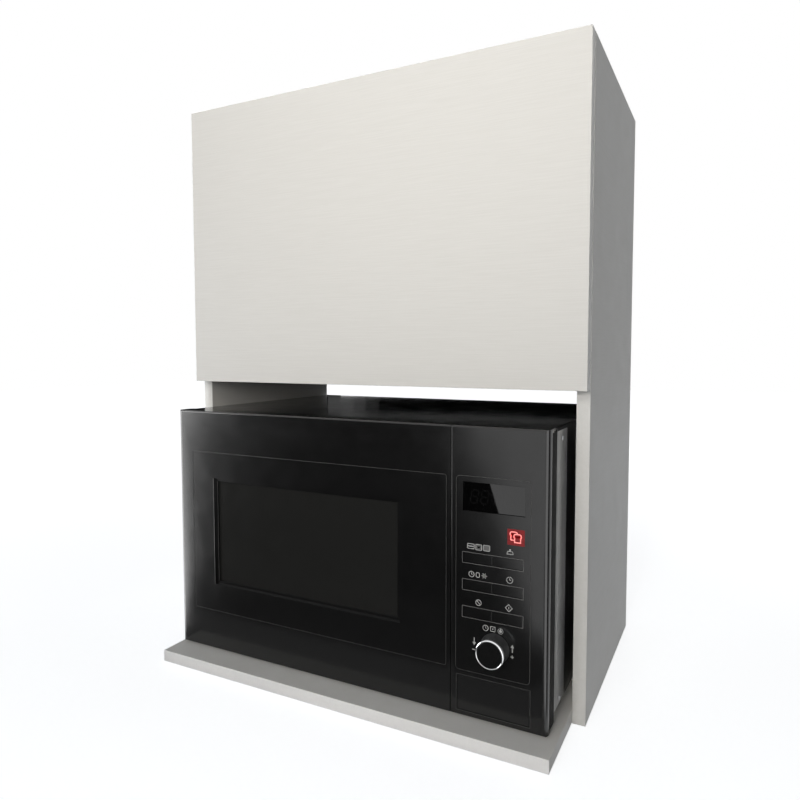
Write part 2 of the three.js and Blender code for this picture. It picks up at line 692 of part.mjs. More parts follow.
function makeDoorFrame() {
  const side = new THREE.Shape();
  side.absarc(doorAxis.x, doorAxis.y, 9, Math.PI / 2, Math.PI);
  side.absarc(ovenLeft + edgeRadius, ovenFrontY + edgeRadius, edgeRadius, Math.PI, 1.5 * Math.PI);
  side.lineTo(doorRight, ovenFrontY);
  side.lineTo(doorRight, doorBackY);
  const block = roundFront(alongZ(side, ovenBottom, ovenTop, 8));
  const opening = windowBox(0, ovenFrontY - 1, windowLedge.y);
  const throat = windowBox(-windowLedge.width, windowLedge.y - 1, pane.y + 1);
  const paneSeat = windowBox(pane.seat, pane.y, doorBackY + 1);
  const seat = windowBox(screenSeat.margin, screenSeat.y, doorBackY + 1);
  const c = innerCover;
  const coverSeat = box(c.x0, c.x1, doorBackY - c.depth - 0.3, doorBackY + 1, c.z0, c.z1);
  const latchSeat = box(
    latch.x0 - 1,
    latch.x1 + 1,
    doorBackY - 9,
    doorBackY + 1,
    latch.z0 - 6,
    latch.z1 + latch.lift + 6,
  );
  const notches = [hingePlate.upper, hingePlate.lower].map((z) =>
    box(
      ovenLeft - 1,
      doorAxis.x + 8,
      doorAxis.y - 7,
      doorBackY + 1,
      z - hingePlate.notch,
      z + hingePlate.thickness + hingePlate.notch,
    ),
  );
  const upperBore = rodZ(doorAxis.x, doorAxis.y, 2.9, hingePlate.upper - 13, hingePlate.upper, 16);
  const lowerBore = rodZ(doorAxis.x, doorAxis.y, 2.9, hingePlate.lower + 2, hingePlate.lower + 15, 16);
  const line = frontGroove(doorLine);
  const bores = [upperBore, lowerBore];
  return cut(block, line, opening, throat, paneSeat, seat, coverSeat, latchSeat, ...notches, ...bores);
}

function makeDoorGlass() {
  const y0 = pane.y + fitGap;
  return windowBox(pane.seat - 0.5, y0, y0 + pane.thickness);
}

function makeDoorScreen() {
  const y0 = screenSeat.y + fitGap;
  return windowBox(screenSeat.margin - 0.5, y0, y0 + 1);
}

function makeInnerCover() {
  const c = innerCover;
  const y0 = doorBackY - c.depth;
  const plate = box(c.x0 + 0.4, c.x1 - 0.4, y0, doorBackY - 0.2, c.z0 + 0.4, c.z1 - 0.4);
  return cut(plate, windowBox(3, y0 - 1, doorBackY + 1));
}

function makeDoorLatch() {
  const middle = (latch.x0 + latch.x1) / 2;
  const bar = box(latch.x0, latch.x1, doorBackY - 8, doorBackY - 2.5, latch.z0, latch.z1);
  const hooks = latch.hooks.flatMap((z) => [
    box(middle - 2.5, middle + 2.5, doorBackY - 3, -134, z, z + latch.hookHeight),
    box(middle - 2.5, middle + 2.5, -138, -134, z, z + latch.hookHeight + 5),
  ]);
  return join(bar, ...hooks);
}

function makeDoor() {
  add(object, "door_frame", makeDoorFrame(), "blackPlastic");
  add(object, "door_glass", makeDoorGlass(), "blackGlass");
  add(object, "door_screen", makeDoorScreen(), "blackSteel");
  add(object, "door_inner_cover", makeInnerCover(), "blackPlastic");
  add(object, "door_latch", makeDoorLatch(), "nylon");
}

// ---- control panel ----
const fasciaWall = 3;
const fasciaBackY = caseFrontY - 0.3;
const bandY = ovenFrontY + 14; // where the side of the fascia steps in
const bandStep = 1.4;
const boardY = -157;

function makeFascia() {
  const right = ovenRight;
  const side = new THREE.Shape();
  side.absarc(right - edgeRadius, ovenFrontY + edgeRadius, edgeRadius, 1.5 * Math.PI, 2 * Math.PI);
  side.lineTo(right, bandY);
  side.lineTo(right - bandStep, bandY);
  side.lineTo(right - bandStep, fasciaBackY);
  side.lineTo(fasciaLeft, fasciaBackY);
  side.lineTo(fasciaLeft, ovenFrontY);
  const block = roundFront(alongZ(side, ovenBottom, ovenTop, 8));
  const wallY0 = ovenFrontY + fasciaWall;
  const inside = box(
    fasciaLeft + fasciaWall,
    right - bandStep - fasciaWall,
    wallY0,
    fasciaBackY + 1,
    ovenBottom + fasciaWall,
    ovenTop - fasciaWall,
  );
  const front = ovenFrontY - 1;
  const displayHole = box(display.x0, display.x1, front, wallY0 + 1, display.z0, display.z1);
  const keyHoles = keyRows.map((row) => box(keys.x0, keys.x1, front, wallY0 + 1, row.z0, row.z1));
  const knobHole = rodY(knob.x, knob.z, 4.2, front, wallY0 + 1, 16);
  const releaseHole = box(release.x0, release.x1, front, wallY0 + 1, release.z0, release.z1);
  return cut(block, inside, displayHole, ...keyHoles, knobHole, releaseHole, frontGroove(panel));
}

function makeDisplay() {
  const d = display;
  const lens = box(d.x0 + 0.4, d.x1 - 0.4, ovenFrontY + 1.4, -172.4, d.z0 + 0.4, d.z1 - 0.4);
  const rim = box(d.x0 - 2, d.x1 + 2, -173.6, -172.4, d.z0 - 2, d.z1 + 2);
  return join(lens, rim);
}

function makeKey(row, x0, x1) {
  const gap = 0.4;
  const middle = { x: (x0 + x1) / 2, z: (row.z0 + row.z1) / 2 };
  const cap = box(x0, x1, ovenFrontY + 0.2, -172.2, row.z0 + gap, row.z1 - gap);
  const lips = box(x0 + 4, x1 - 4, -173.6, -172.2, row.z0 - 1.5, row.z1 + 1.5);
  const stem = rodY(middle.x, middle.z, 2.5, -172.5, boardY - 3.4, 12);
  return join(cap, lips, stem);
}

function makeControlBoard() {
  const plate = box(164, 262, boardY, boardY + 1.6, 92, 318);
  const module = box(display.x0 + 3, display.x1 - 3, -171.8, boardY + 0.5, display.z0 + 3, display.z1 - 3);
  const encoder = box(knob.x - 8, knob.x + 8, -166, boardY + 0.5, knob.z - 8, knob.z + 8);
  const contacts = keyRows.flatMap((row) => {
    const z = (row.z0 + row.z1) / 2;
    return keyColumns.map(({ x0, x1 }) => {
      const x = (x0 + x1) / 2;
      return box(x - 3, x + 3, boardY - 2.2, boardY + 0.5, z - 3, z + 3);
    });
  });
  const shaftBore = rodY(knob.x, knob.z, 3.4, -170, -159, 16);
  return cut(join(plate, module, encoder, ...contacts), shaftBore);
}

const keyMiddle = (keys.x0 + keys.x1) / 2;
const keyColumns = [
  { name: "left", x0: keys.x0 + 0.4, x1: keyMiddle - 0.25 },
  { name: "right", x0: keyMiddle + 0.25, x1: keys.x1 - 0.4 },
];

function makeKnobBody() {
  const base = ovenFrontY - 0.6;
  const front = base - knob.height;
  const profile = [
    [0, front],
    [knob.radius - 2.6, front],
    [knob.radius - 2.6, front + 3.6],
    [knob.radius - 0.8, front + 3.6],
    [knob.radius, base],
    [3, base],
    [3, -160],
    [0, -160],
  ];
  return turnedY(profile, knob.x, knob.z, 40);
}

function makeKnobRing() {
  const front = ovenFrontY - 0.6 - knob.height;
  const inner = knob.radius - 2.3;
  const outer = knob.radius - 0.5;
  const profile = [
    [inner, front - 0.4],
    [outer, front - 0.4],
    [outer, front + 3.3],
    [inner, front + 3.3],
    [inner, front - 0.4],
  ];
  return turnedY(profile, knob.x, knob.z, 40);
}

function makeReleaseButton() {
  const r = release;
  const gap = 0.6;
  const cap = box(r.x0 + gap, r.x1 - gap, ovenFrontY, -173, r.z0 + gap, r.z1 - gap);
  const plunger = box(196, 219, -173.5, -158, 40, 52);
  return join(cap, plunger);
}

function makeControls() {
  add(object, "control_fascia", makeFascia(), "blackPlastic");
  add(object, "display_window", makeDisplay(), "blackGlass");
  add(object, "control_board", makeControlBoard(), "circuitBoard");
  for (const row of keyRows) {
    for (const column of keyColumns) {
      add(object, `key_${row.name}_${column.name}`, makeKey(row, column.x0, column.x1), "blackPlastic");
    }
  }
  add(object, "knob_body", makeKnobBody(), "blackPlastic");
  add(object, "knob_ring", makeKnobRing(), "chrome");
  add(object, "release_button", makeReleaseButton(), "blackPlastic");
}

makeCarcass();
makeFlapFittings();
makeOvenBody();
makeDoor();
makeControls();

export default object;
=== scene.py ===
import json
import math

import bmesh
import bpy
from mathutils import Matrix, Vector

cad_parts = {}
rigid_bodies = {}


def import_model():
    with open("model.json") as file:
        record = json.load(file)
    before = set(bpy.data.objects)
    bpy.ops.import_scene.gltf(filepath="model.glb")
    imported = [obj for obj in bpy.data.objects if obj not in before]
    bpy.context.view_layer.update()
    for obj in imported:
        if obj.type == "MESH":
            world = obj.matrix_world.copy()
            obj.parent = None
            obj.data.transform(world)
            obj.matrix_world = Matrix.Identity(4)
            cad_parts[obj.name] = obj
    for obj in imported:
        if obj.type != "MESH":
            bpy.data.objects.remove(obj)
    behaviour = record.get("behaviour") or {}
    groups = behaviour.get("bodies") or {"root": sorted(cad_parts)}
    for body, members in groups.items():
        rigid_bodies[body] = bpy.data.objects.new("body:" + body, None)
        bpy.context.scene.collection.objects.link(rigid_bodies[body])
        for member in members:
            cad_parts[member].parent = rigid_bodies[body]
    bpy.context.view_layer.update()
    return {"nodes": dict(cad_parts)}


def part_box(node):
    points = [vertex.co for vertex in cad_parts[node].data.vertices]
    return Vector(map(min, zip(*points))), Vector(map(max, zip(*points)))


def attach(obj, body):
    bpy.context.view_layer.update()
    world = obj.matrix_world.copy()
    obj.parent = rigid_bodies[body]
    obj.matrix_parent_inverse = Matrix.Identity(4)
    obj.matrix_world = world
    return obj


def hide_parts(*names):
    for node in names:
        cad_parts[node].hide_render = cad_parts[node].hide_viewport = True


for leftover in list(bpy.data.objects):
    bpy.data.objects.remove(leftover)

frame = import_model()
mm = 0.001
print("stage: cabinet and oven loaded")


# The camera stands right of the middle, just over the oven.
cameraSettings = {
    "place": (0.44996, -0.86255, 0.44947),  # metres
    "tilt": 86.703,
    "turn": 26.499,
    "lens": 28.877,
    "shift": (-0.0193, -0.0144),
}


def addCamera():
    tilt = math.radians(cameraSettings["tilt"])
    turn = math.radians(cameraSettings["turn"])
    bpy.ops.object.camera_add(location=cameraSettings["place"], rotation=(tilt, 0, turn))
    camera = bpy.context.active_object
    camera.name = "photo_camera"
    camera.data.lens = cameraSettings["lens"]
    camera.data.sensor_width = 36
    camera.data.shift_x, camera.data.shift_y = cameraSettings["shift"]
    camera.data.clip_start = 0.01
    bpy.context.scene.camera = camera


addCamera()


# Small node groups that the materials share.
def newMaterial(name):
    material = bpy.data.materials.new(name)
    material.use_nodes = True
    return material, material.node_tree, material.node_tree.nodes["Principled BSDF"]


def setInputs(node, values):
    for name, value in values.items():
        node.inputs[name].default_value = value


# One number stands for the same value in all three directions.
def even(value):
    return value if isinstance(value, tuple) else (value, value, value)


def objectPattern(tree, scale):
    place = tree.nodes.new("ShaderNodeTexCoord")
    stretch = tree.nodes.new("ShaderNodeMapping")
    setInputs(stretch, {"Scale": even(scale)})
    tree.links.new(place.outputs["Object"], stretch.inputs["Vector"])
    return stretch.outputs["Vector"]


def noiseField(tree, scale, detail=3.0):
    noise = tree.nodes.new("ShaderNodeTexNoise")
    setInputs(noise, {"Scale": 1.0, "Detail": detail})
    tree.links.new(objectPattern(tree, scale), noise.inputs["Vector"])
    return noise.outputs["Fac"]


def twoTones(tree, field, first, second, low=0.35, high=0.65):
    ramp = tree.nodes.new("ShaderNodeValToRGB")
    ramp.color_ramp.elements[0].position = low
    ramp.color_ramp.elements[0].color = (*first, 1)
    ramp.color_ramp.elements[1].position = high
    ramp.color_ramp.elements[1].color = (*second, 1)
    tree.links.new(field, ramp.inputs["Fac"])
    return ramp.outputs["Color"]


def rangeNode(tree, source, fromLow, fromHigh, toLow, toHigh):
    level = tree.nodes.new("ShaderNodeMapRange")
    setInputs(level, {"From Min": fromLow, "From Max": fromHigh, "To Min": toLow, "To Max": toHigh})
    tree.links.new(source, level.inputs["Value"])
    return level.outputs["Result"]


# Stretches the middle part of a noise, where most of it lies, over the given span.
def spread(tree, field, low, high):
    return rangeNode(tree, field, 0.3, 0.7, low, high)


surfaceSettings = {"wearScale": 40, "reliefDepth": 0.0002}  # per metre, and in metres


def bumped(tree, shader, field, strength):
    bump = tree.nodes.new("ShaderNodeBump")
    setInputs(bump, {"Strength": strength, "Distance": surfaceSettings["reliefDepth"]})
    tree.links.new(field, bump.inputs["Height"])
    tree.links.new(bump.outputs["Normal"], shader.inputs["Normal"])


# A surface with two close tones, a roughness that varies and a fine relief. Scales are per metre.
def makeSurface(name, look):
    material, tree, shader = newMaterial(name)
    tone = noiseField(tree, look["grain"], look.get("detail", 3.0))
    tree.links.new(twoTones(tree, tone, look["colour"], look["second"]), shader.inputs["Base Color"])
    wear = noiseField(tree, surfaceSettings["wearScale"])
    tree.links.new(spread(tree, wear, *look["roughness"]), shader.inputs["Roughness"])
    relief = noiseField(tree, look["relief"], 2.0)
    bumped(tree, shader, relief, look["reliefStrength"])
    setInputs(shader, {
        "Metallic": look.get("metallic", 0.0), "Specular IOR Level": look.get("specular", 0.5),
    })
    return material


surfaceLooks = {
    "laminate": {  # off-white board face with a very fine level grain
        "colour": (0.735, 0.722, 0.690), "second": (0.765, 0.752, 0.722), "grain": (22, 22, 1300),
        "roughness": (0.42, 0.52), "relief": (60, 60, 2600), "reliefStrength": 0.06, "specular": 0.35,
    },
    "edgeBand": {
        "colour": (0.745, 0.735, 0.705), "second": (0.765, 0.755, 0.728), "grain": 300,
        "roughness": (0.34, 0.42), "relief": 900, "reliefStrength": 0.05, "specular": 0.4,
    },
    "shelfBandPaintedLight": {  # the shelf's edge band, made whiter than the other bands: painted light that stands in for the light on the shelf front
        "colour": (0.93, 0.915, 0.90), "second": (0.95, 0.935, 0.92), "grain": 300,
        "roughness": (0.34, 0.42), "relief": 900, "reliefStrength": 0.05, "specular": 0.4,
    },
    "hardboard": {
        "colour": (0.64, 0.63, 0.60), "second": (0.69, 0.68, 0.655), "grain": 260,
        "roughness": (0.50, 0.62), "relief": 1500, "reliefStrength": 0.18,
    },
    "zincPlate": {
        "colour": (0.50, 0.51, 0.52), "second": (0.62, 0.63, 0.64), "grain": 90, "detail": 1.0,
        "roughness": (0.28, 0.42), "relief": 700, "reliefStrength": 0.05, "metallic": 1.0,
    },
    "greyPlastic": {
        "colour": (0.30, 0.305, 0.31), "second": (0.34, 0.345, 0.35), "grain": 500,
        "roughness": (0.42, 0.55), "relief": 2400, "reliefStrength": 0.25,
    },
    "caseEnamel": {  # black stove enamel with a slight orange peel
        "colour": (0.0030, 0.0030, 0.0032), "second": (0.0042, 0.0042, 0.0044), "grain": 200,
        "roughness": (0.10, 0.16), "relief": 420, "reliefStrength": 0.05,
    },
    "blackFront": {
        "colour": (0.0062, 0.0062, 0.0063), "second": (0.0076, 0.0076, 0.0077), "grain": 150,
        "roughness": (0.15, 0.19), "relief": 1800, "reliefStrength": 0.02, "specular": 0.62,
    },
    "blackPlastic": {
        "colour": (0.0055, 0.0055, 0.0057), "second": (0.0085, 0.0085, 0.0087), "grain": 300,
        "roughness": (0.26, 0.34), "relief": 2200, "reliefStrength": 0.10, "specular": 0.4,
    },
    # Black knob plastic painted lighter than the knob face: a painted sheen for the reflection along the
    # knob's wall.
    "knobWallPaintedSheen": {
        "colour": (0.030, 0.030, 0.031), "second": (0.040, 0.040, 0.041), "grain": 300,
        "roughness": (0.30, 0.38), "relief": 1500, "reliefStrength": 0.05, "specular": 0.7,
    },
    "displayGlass": {
        "colour": (0.0018, 0.0018, 0.0019), "second": (0.0026, 0.0026, 0.0027), "grain": 60,
        "roughness": (0.012, 0.025), "relief": 80, "reliefStrength": 0.004, "specular": 0.66,
    },
    "cavityEnamel": {
        "colour": (0.25, 0.26, 0.27), "second": (0.33, 0.34, 0.35), "grain": 2600,
        "roughness": (0.26, 0.34), "relief": 1400, "reliefStrength": 0.08,
    },
    "rubber": {
        "colour": (0.012, 0.012, 0.012), "second": (0.020, 0.020, 0.020), "grain": 700,
        "roughness": (0.70, 0.85), "relief": 1600, "reliefStrength": 0.3,
    },
    "chrome": {
        "colour": (0.76, 0.77, 0.78), "second": (0.82, 0.83, 0.84), "grain": 50,
        "roughness": (0.07, 0.12), "relief": 300, "reliefStrength": 0.01, "metallic": 1.0,
    },
    "nylon": {
        "colour": (0.66, 0.64, 0.58), "second": (0.72, 0.70, 0.64), "grain": 240,
        "roughness": (0.40, 0.52), "relief": 1500, "reliefStrength": 0.12,
    },
    "coreSteel": {
        "colour": (0.09, 0.095, 0.10), "second": (0.17, 0.172, 0.175), "grain": (20, 1400, 20),
        "roughness": (0.38, 0.55), "relief": (20, 2000, 20), "reliefStrength": 0.3, "metallic": 0.8,
    },
    "micaSheet": {
        "colour": (0.36, 0.29, 0.20), "second": (0.46, 0.38, 0.27), "grain": (180, 180, 60),
        "roughness": (0.35, 0.55), "relief": (900, 900, 300), "reliefStrength": 0.15,
    },
    "paleInk": {
        "colour": (0.46, 0.46, 0.45), "second": (0.54, 0.54, 0.53), "grain": 900,
        "roughness": (0.45, 0.55), "relief": 2500, "reliefStrength": 0.05,
    },
    # Dark-grey ink for the printed lines; it is also the colour of the painted highlight lines on the window
    # reveal.
    "lineInkAndPaintedGlint": {
        "colour": (0.060, 0.060, 0.058), "second": (0.078, 0.078, 0.075), "grain": 900,
        "roughness": (0.40, 0.50), "relief": 2500, "reliefStrength": 0.05,
    },
    "frameInk": {
        "colour": (0.135, 0.133, 0.130), "second": (0.165, 0.163, 0.160), "grain": 900,
        "roughness": (0.30, 0.40), "relief": 900, "reliefStrength": 0.03,
    },
    "faintInk": {  # the unlit digits behind the display
        "colour": (0.0060, 0.0060, 0.0062), "second": (0.0080, 0.0080, 0.0083), "grain": 900,
        "roughness": (0.015, 0.03), "relief": 80, "reliefStrength": 0.004, "specular": 0.66,
    },
    "blackMatte": {
        "colour": (0.0020, 0.0020, 0.0020), "second": (0.0030, 0.0030, 0.0030), "grain": 200,
        "roughness": (0.60, 0.70), "relief": 900, "reliefStrength": 0.05, "specular": 0.08,
    },
    "flangeSteel": {  # bare steel edge of the front frame
        "colour": (0.36, 0.36, 0.355), "second": (0.42, 0.42, 0.415), "grain": (120, 120, 16), "detail": 1.5,
        "roughness": (0.34, 0.46), "relief": (900, 900, 60), "reliefStrength": 0.06, "metallic": 0.25,
    },
    "screenPaint": {
        "colour": (0.018, 0.018, 0.017), "second": (0.025, 0.025, 0.024), "grain": 600,
        "roughness": (0.45, 0.60), "relief": 2000, "reliefStrength": 0.08,
    },
}


def makeGlass(name, tint, roughness, specular, clear):
    material, tree, shader = newMaterial(name)
    setInputs(shader, {
        "Base Color": (*tint, 1), "Transmission Weight": clear,
        "IOR": 1.46, "Specular IOR Level": specular,
    })
    haze = noiseField(tree, 35)
    tree.links.new(spread(tree, haze, *roughness), shader.inputs["Roughness"])
    waves = noiseField(tree, 12, 1.0)
    bumped(tree, shader, waves, 0.005)
    return material


# Emission on printed marks: a painted glow, since the marks are no lamp.
def makePaintedGlow(name, colour, strength):
    material, tree, shader = newMaterial(name)
    tone = noiseField(tree, 260)
    dim = tuple(0.8 * part for part in colour)
    tones = twoTones(tree, tone, dim, colour)
    tree.links.new(tones, shader.inputs["Base Color"])
    tree.links.new(tones, shader.inputs["Emission Color"])
    setInputs(shader, {"Emission Strength": strength, "Roughness": 0.35})
    return material


# Green solder mask with paler tracks.
def makeCircuitBoard(name):
    material, tree, shader = newMaterial(name)
    tracks = tree.nodes.new("ShaderNodeTexBrick")
    setInputs(tracks, {
        "Color1": (0.018, 0.105, 0.045, 1), "Color2": (0.024, 0.125, 0.055, 1),
        "Mortar": (0.060, 0.240, 0.110, 1), "Mortar Size": 0.06, "Scale": 1.0,
    })
    tree.links.new(objectPattern(tree, 160), tracks.inputs["Vector"])
    tree.links.new(tracks.outputs["Color"], shader.inputs["Base Color"])
    wear = noiseField(tree, 90)
    tree.links.new(spread(tree, wear, 0.30, 0.42), shader.inputs["Roughness"])
    return material


finishes = {name: makeSurface(name, look) for name, look in surfaceLooks.items()}
finishes["smokedPane"] = makeGlass("smokedPane", (0.028, 0.028, 0.0265), (0.12, 0.18), 0.2, 0.35)
finishes["clearTray"] = makeGlass("clearTray", (0.90, 0.95, 0.93), (0.02, 0.05), 0.5, 1.0)
finishes["redPaintedGlow"] = makePaintedGlow("redPaintedGlow", (0.135, 0.0022, 0.0035), 0.75)
finishes["pinkPaintedGlow"] = makePaintedGlow("pinkPaintedGlow", (0.95, 0.27, 0.25), 1.0)
finishes["circuitBoard"] = makeCircuitBoard("circuitBoard")
print("stage: finishes made")


smoothAngle = math.radians(32)  # edges up to this are shaded round
bevelAngle = math.radians(35)  # edges over this get a small bevel


# Welds a piece's triangles, then smooths its shallow edges and keeps the others sharp.
def makeSoftener():
    group = bpy.data.node_groups.new("smoothRounds", "GeometryNodeTree")
    group.interface.new_socket("Geometry", in_out="INPUT", socket_type="NodeSocketGeometry")
    group.interface.new_socket("Geometry", in_out="OUTPUT", socket_type="NodeSocketGeometry")
    start = group.nodes.new("NodeGroupInput")
    weld = group.nodes.new("GeometryNodeMergeByDistance")
    setInputs(weld, {"Distance": 0.00001})
    drop = group.nodes.new("GeometryNodeRemoveAttribute")
    setInputs(drop, {"Name": "custom_normal"})
    faces = group.nodes.new("GeometryNodeSetShadeSmooth")
    faces.domain = "FACE"
    softEdges = group.nodes.new("GeometryNodeSetShadeSmooth")
    softEdges.domain = "EDGE"
    hardEdges = group.nodes.new("GeometryNodeSetShadeSmooth")
    hardEdges.domain = "EDGE"
    setInputs(hardEdges, {"Shade Smooth": False})
    angle = group.nodes.new("GeometryNodeInputMeshEdgeAngle")
    steep = group.nodes.new("FunctionNodeCompare")
    steep.operation = "GREATER_THAN"
    setInputs(steep, {"B": smoothAngle})
    end = group.nodes.new("NodeGroupOutput")
    chain = [start, weld, drop, faces, softEdges, hardEdges, end]
    for earlier, later in zip(chain, chain[1:]):
        group.links.new(earlier.outputs[0], later.inputs[0])
    group.links.new(angle.outputs["Unsigned Angle"], steep.inputs["A"])
    group.links.new(steep.outputs["Result"], hardEdges.inputs["Selection"])
    return group


softener = makeSoftener()


def giveFinish(piece, finish):
    piece.data.materials.clear()
    piece.data.materials.append(finishes[finish])


def dressNode(name, finish, edge):
    node = frame["nodes"][name]
    giveFinish(node, finish)
    smooth = node.modifiers.new("smoothRounds", "NODES")
    smooth.node_group = softener
    if edge:
        bevel = node.modifiers.new("edgeRound", "BEVEL")
        bevel.width = edge * mm
        bevel.segments = 2
        bevel.limit_method = "ANGLE"
        bevel.angle_limit = bevelAngle
        bevel.harden_normals = True


sideNames = ("left", "right")
bothSides = (("left", -1), ("right", 1))
keyNames = [f"key_{row}_{side}" for row in ("upper", "middle", "lower") for side in sideNames]

# finish, edge radius in millimetres, nodes
nodeFinishes = [
    ("laminate", 0.7, ["side_panel_left", "side_panel_right", "top_panel", "compartment_floor"]),
    ("laminate", 0.7, ["microwave_shelf", "flap_door"]),
    ("hardboard", 0.3, ["back_panel"]),
    ("zincPlate", 0.25, [f"{part}_{side}" for part in ("wall_hanger", "hinge_cup") for side in sideNames]),
    ("zincPlate", 0.2, [f"{part}_{side}" for part in ("hinge_arm", "hinge_link") for side in sideNames]),
    ("zincPlate", 0.3, [f"{part}_{side}" for part in ("lift_lever", "lift_link") for side in sideNames]),
    ("zincPlate", 0.3, ["flap_bracket_left", "flap_bracket_right"]),
    ("greyPlastic", 1.0, ["lift_housing_left", "lift_housing_right"]),
    ("zincPlate", 0.2, ["oven_back_plate", "oven_base", "door_hinge_upper", "door_hinge_lower"]),
    ("zincPlate", 0.2, ["magnetron", "turntable_motor"]),
    ("rubber", 0.4, [f"oven_foot_{end}_{side}" for end in ("front", "rear") for side in sideNames]),
    ("rubber", 0.2, ["cord_gland"]),
    ("cavityEnamel", 0.2, ["oven_cavity"]),
    ("nylon", 0.3, ["interlock_frame", "door_latch", "tray_coupler", "roller_ring"]),
    ("coreSteel", 0.2, ["transformer", "fan_motor"]),
    ("greyPlastic", 0.3, ["fan_blade"]),
    ("blackFront", 0.35, ["door_frame", "control_fascia"]),
    ("blackFront", 0.45, ["release_button", *keyNames]),
    ("blackPlastic", 0.3, ["door_inner_cover"]),
    ("displayGlass", 0.15, ["display_window"]),
    ("smokedPane", 0.2, ["door_glass"]),
    ("circuitBoard", 0.1, ["control_board"]),
    ("chrome", 0.25, ["knob_ring"]),
    ("blackPlastic", 0.4, ["knob_body"]),
    ("clearTray", 0, ["glass_tray"]),
    ("caseEnamel", 0, ["oven_case"]),
    ("screenPaint", 0, ["door_screen"]),
]
for finish, edge, names in nodeFinishes:
    for name in names:
        dressNode(name, finish, edge)
print("stage: carried-over pieces dressed")


def deselectAll():
    bpy.ops.object.select_all(action="DESELECT")


def pickOnly(piece):
    deselectAll()
    piece.select_set(True)
    bpy.context.view_layer.objects.active = piece


def rename(piece, name):
    piece.name = name
    piece.data.name = name
    return piece


# Puts a piece's place, turn and size into its mesh.
def applyPlace(piece):
    pickOnly(piece)
    bpy.ops.object.transform_apply(location=True, rotation=True, scale=True)


# Takes over a primitive that was just added: its name, and its place into its mesh.
def settle(name):
    piece = bpy.context.active_object
    applyPlace(piece)
    return rename(piece, name)


def cubeBetween(name, low, high):
    low, high = Vector(low) * mm, Vector(high) * mm
    deselectAll()
    bpy.ops.mesh.primitive_cube_add(size=1, location=(low + high) / 2, scale=high - low)
    return settle(name)


def startEdit(piece, start="DESELECT"):
    pickOnly(piece)
    bpy.ops.object.mode_set(mode="EDIT")
    bpy.ops.mesh.select_mode(type="FACE")
    bpy.ops.mesh.select_all(action=start)


def endEdit():
    bpy.ops.object.mode_set(mode="OBJECT")


# Leaves edit mode with all faces turned outwards.
def endFacingOut():
    bpy.ops.mesh.select_all(action="SELECT")
    bpy.ops.mesh.normals_make_consistent(inside=False)
    endEdit()


def chooseFaces(piece, wanted):
    mesh = bmesh.from_edit_mesh(piece.data)
    for face in mesh.faces:
        face.select_set(wanted(face.calc_center_median() / mm, face.normal))
    bmesh.update_edit_mesh(piece.data)


def chooseEdges(piece, wanted):
    bpy.ops.mesh.select_mode(type="EDGE")
    mesh = bmesh.from_edit_mesh(piece.data)
    for edge in mesh.edges:
        middle = (edge.verts[0].co + edge.verts[1].co) / 2 / mm
        along = (edge.verts[0].co - edge.verts[1].co).normalized()
        edge.select_set(wanted(middle, along))
    bmesh.update_edit_mesh(piece.data)


def applyModifier(piece, name, kind, **settings):
    pickOnly(piece)
    modifier = piece.modifiers.new(name, kind)
    for key, value in settings.items():
        setattr(modifier, key, value)
    bpy.ops.object.modifier_apply(modifier=name)


def roundEdges(piece, width, segments=2):
    applyModifier(
        piece, "edgeRound", "BEVEL", width=width * mm, segments=segments,
        limit_method="ANGLE", angle_limit=bevelAngle,
    )


def finishPiece(piece, finish, body, replaces=()):
    giveFinish(piece, finish)
    pickOnly(piece)
    bpy.ops.object.shade_smooth_by_angle(angle=smoothAngle)
    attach(piece, body)
    if replaces:
        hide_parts(*replaces)


def joinPieces(name, pieces):
    deselectAll()
    for piece in pieces:
        piece.select_set(True)
    bpy.context.view_layer.objects.active = pieces[0]
    if len(pieces) > 1:
        bpy.ops.object.join()
    return rename(bpy.context.active_object, name)


def copyPiece(piece, name):
    twin = piece.copy()
    twin.data = piece.data.copy()
    bpy.context.scene.collection.objects.link(twin)
    return rename(twin, name)


# A round piece grown from its first section: (radius, height) steps along the given turn.
def turnedPiece(name, place, turn, profile, sides):
    (r0, h0), (r1, h1) = profile[:2]
    deselectAll()
    bpy.ops.mesh.primitive_cone_add(
        vertices=sides, radius1=r0 * mm, radius2=r1 * mm, depth=(h1 - h0) * mm,
        location=(0, 0, (h0 + h1) / 2 * mm),
    )
    piece = settle(name)
    startEdit(piece)
    chooseFaces(piece, lambda middle, normal: normal.z > 0.9 and middle.z > h1 - 0.001)
    radius, height = r1, h1
    for nextRadius, nextHeight in profile[2:]:
        rise = (0, 0, (nextHeight - height) * mm)
        bpy.ops.mesh.extrude_region_move(TRANSFORM_OT_translate={"value": rise})
        share = nextRadius / radius
        bpy.ops.transform.resize(value=(share, share, 1), center_override=(0, 0, nextHeight * mm))
        radius, height = nextRadius, nextHeight
    endEdit()
    piece.rotation_euler = [math.radians(angle) for angle in turn]
    piece.location = Vector(place) * mm
    applyPlace(piece)
    return piece


faceFront = (90, 0, 0)  # turns a piece that grows along +Z to grow towards the viewer, -Y


# Lowest and highest corner of every carried-over piece, in millimetres.
nodeLow, nodeHigh = {}, {}
for name in frame["nodes"]:
    low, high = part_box(name)
    nodeLow[name], nodeHigh[name] = low / mm, high / mm

bandSettings = {"proud": 0.08, "thick": 0.9, "corner": 0.35}


def addFrontBand(node, finish):
    low, high = nodeLow[node], nodeHigh[node]
    proud, thick = bandSettings["proud"], bandSettings["thick"]
    band = cubeBetween(f"edge_band_{node}", (low.x, low.y - proud, low.z), (high.x, low.y + thick, high.z))
    roundEdges(band, bandSettings["corner"])
    finishPiece(band, finish, "cabinet")


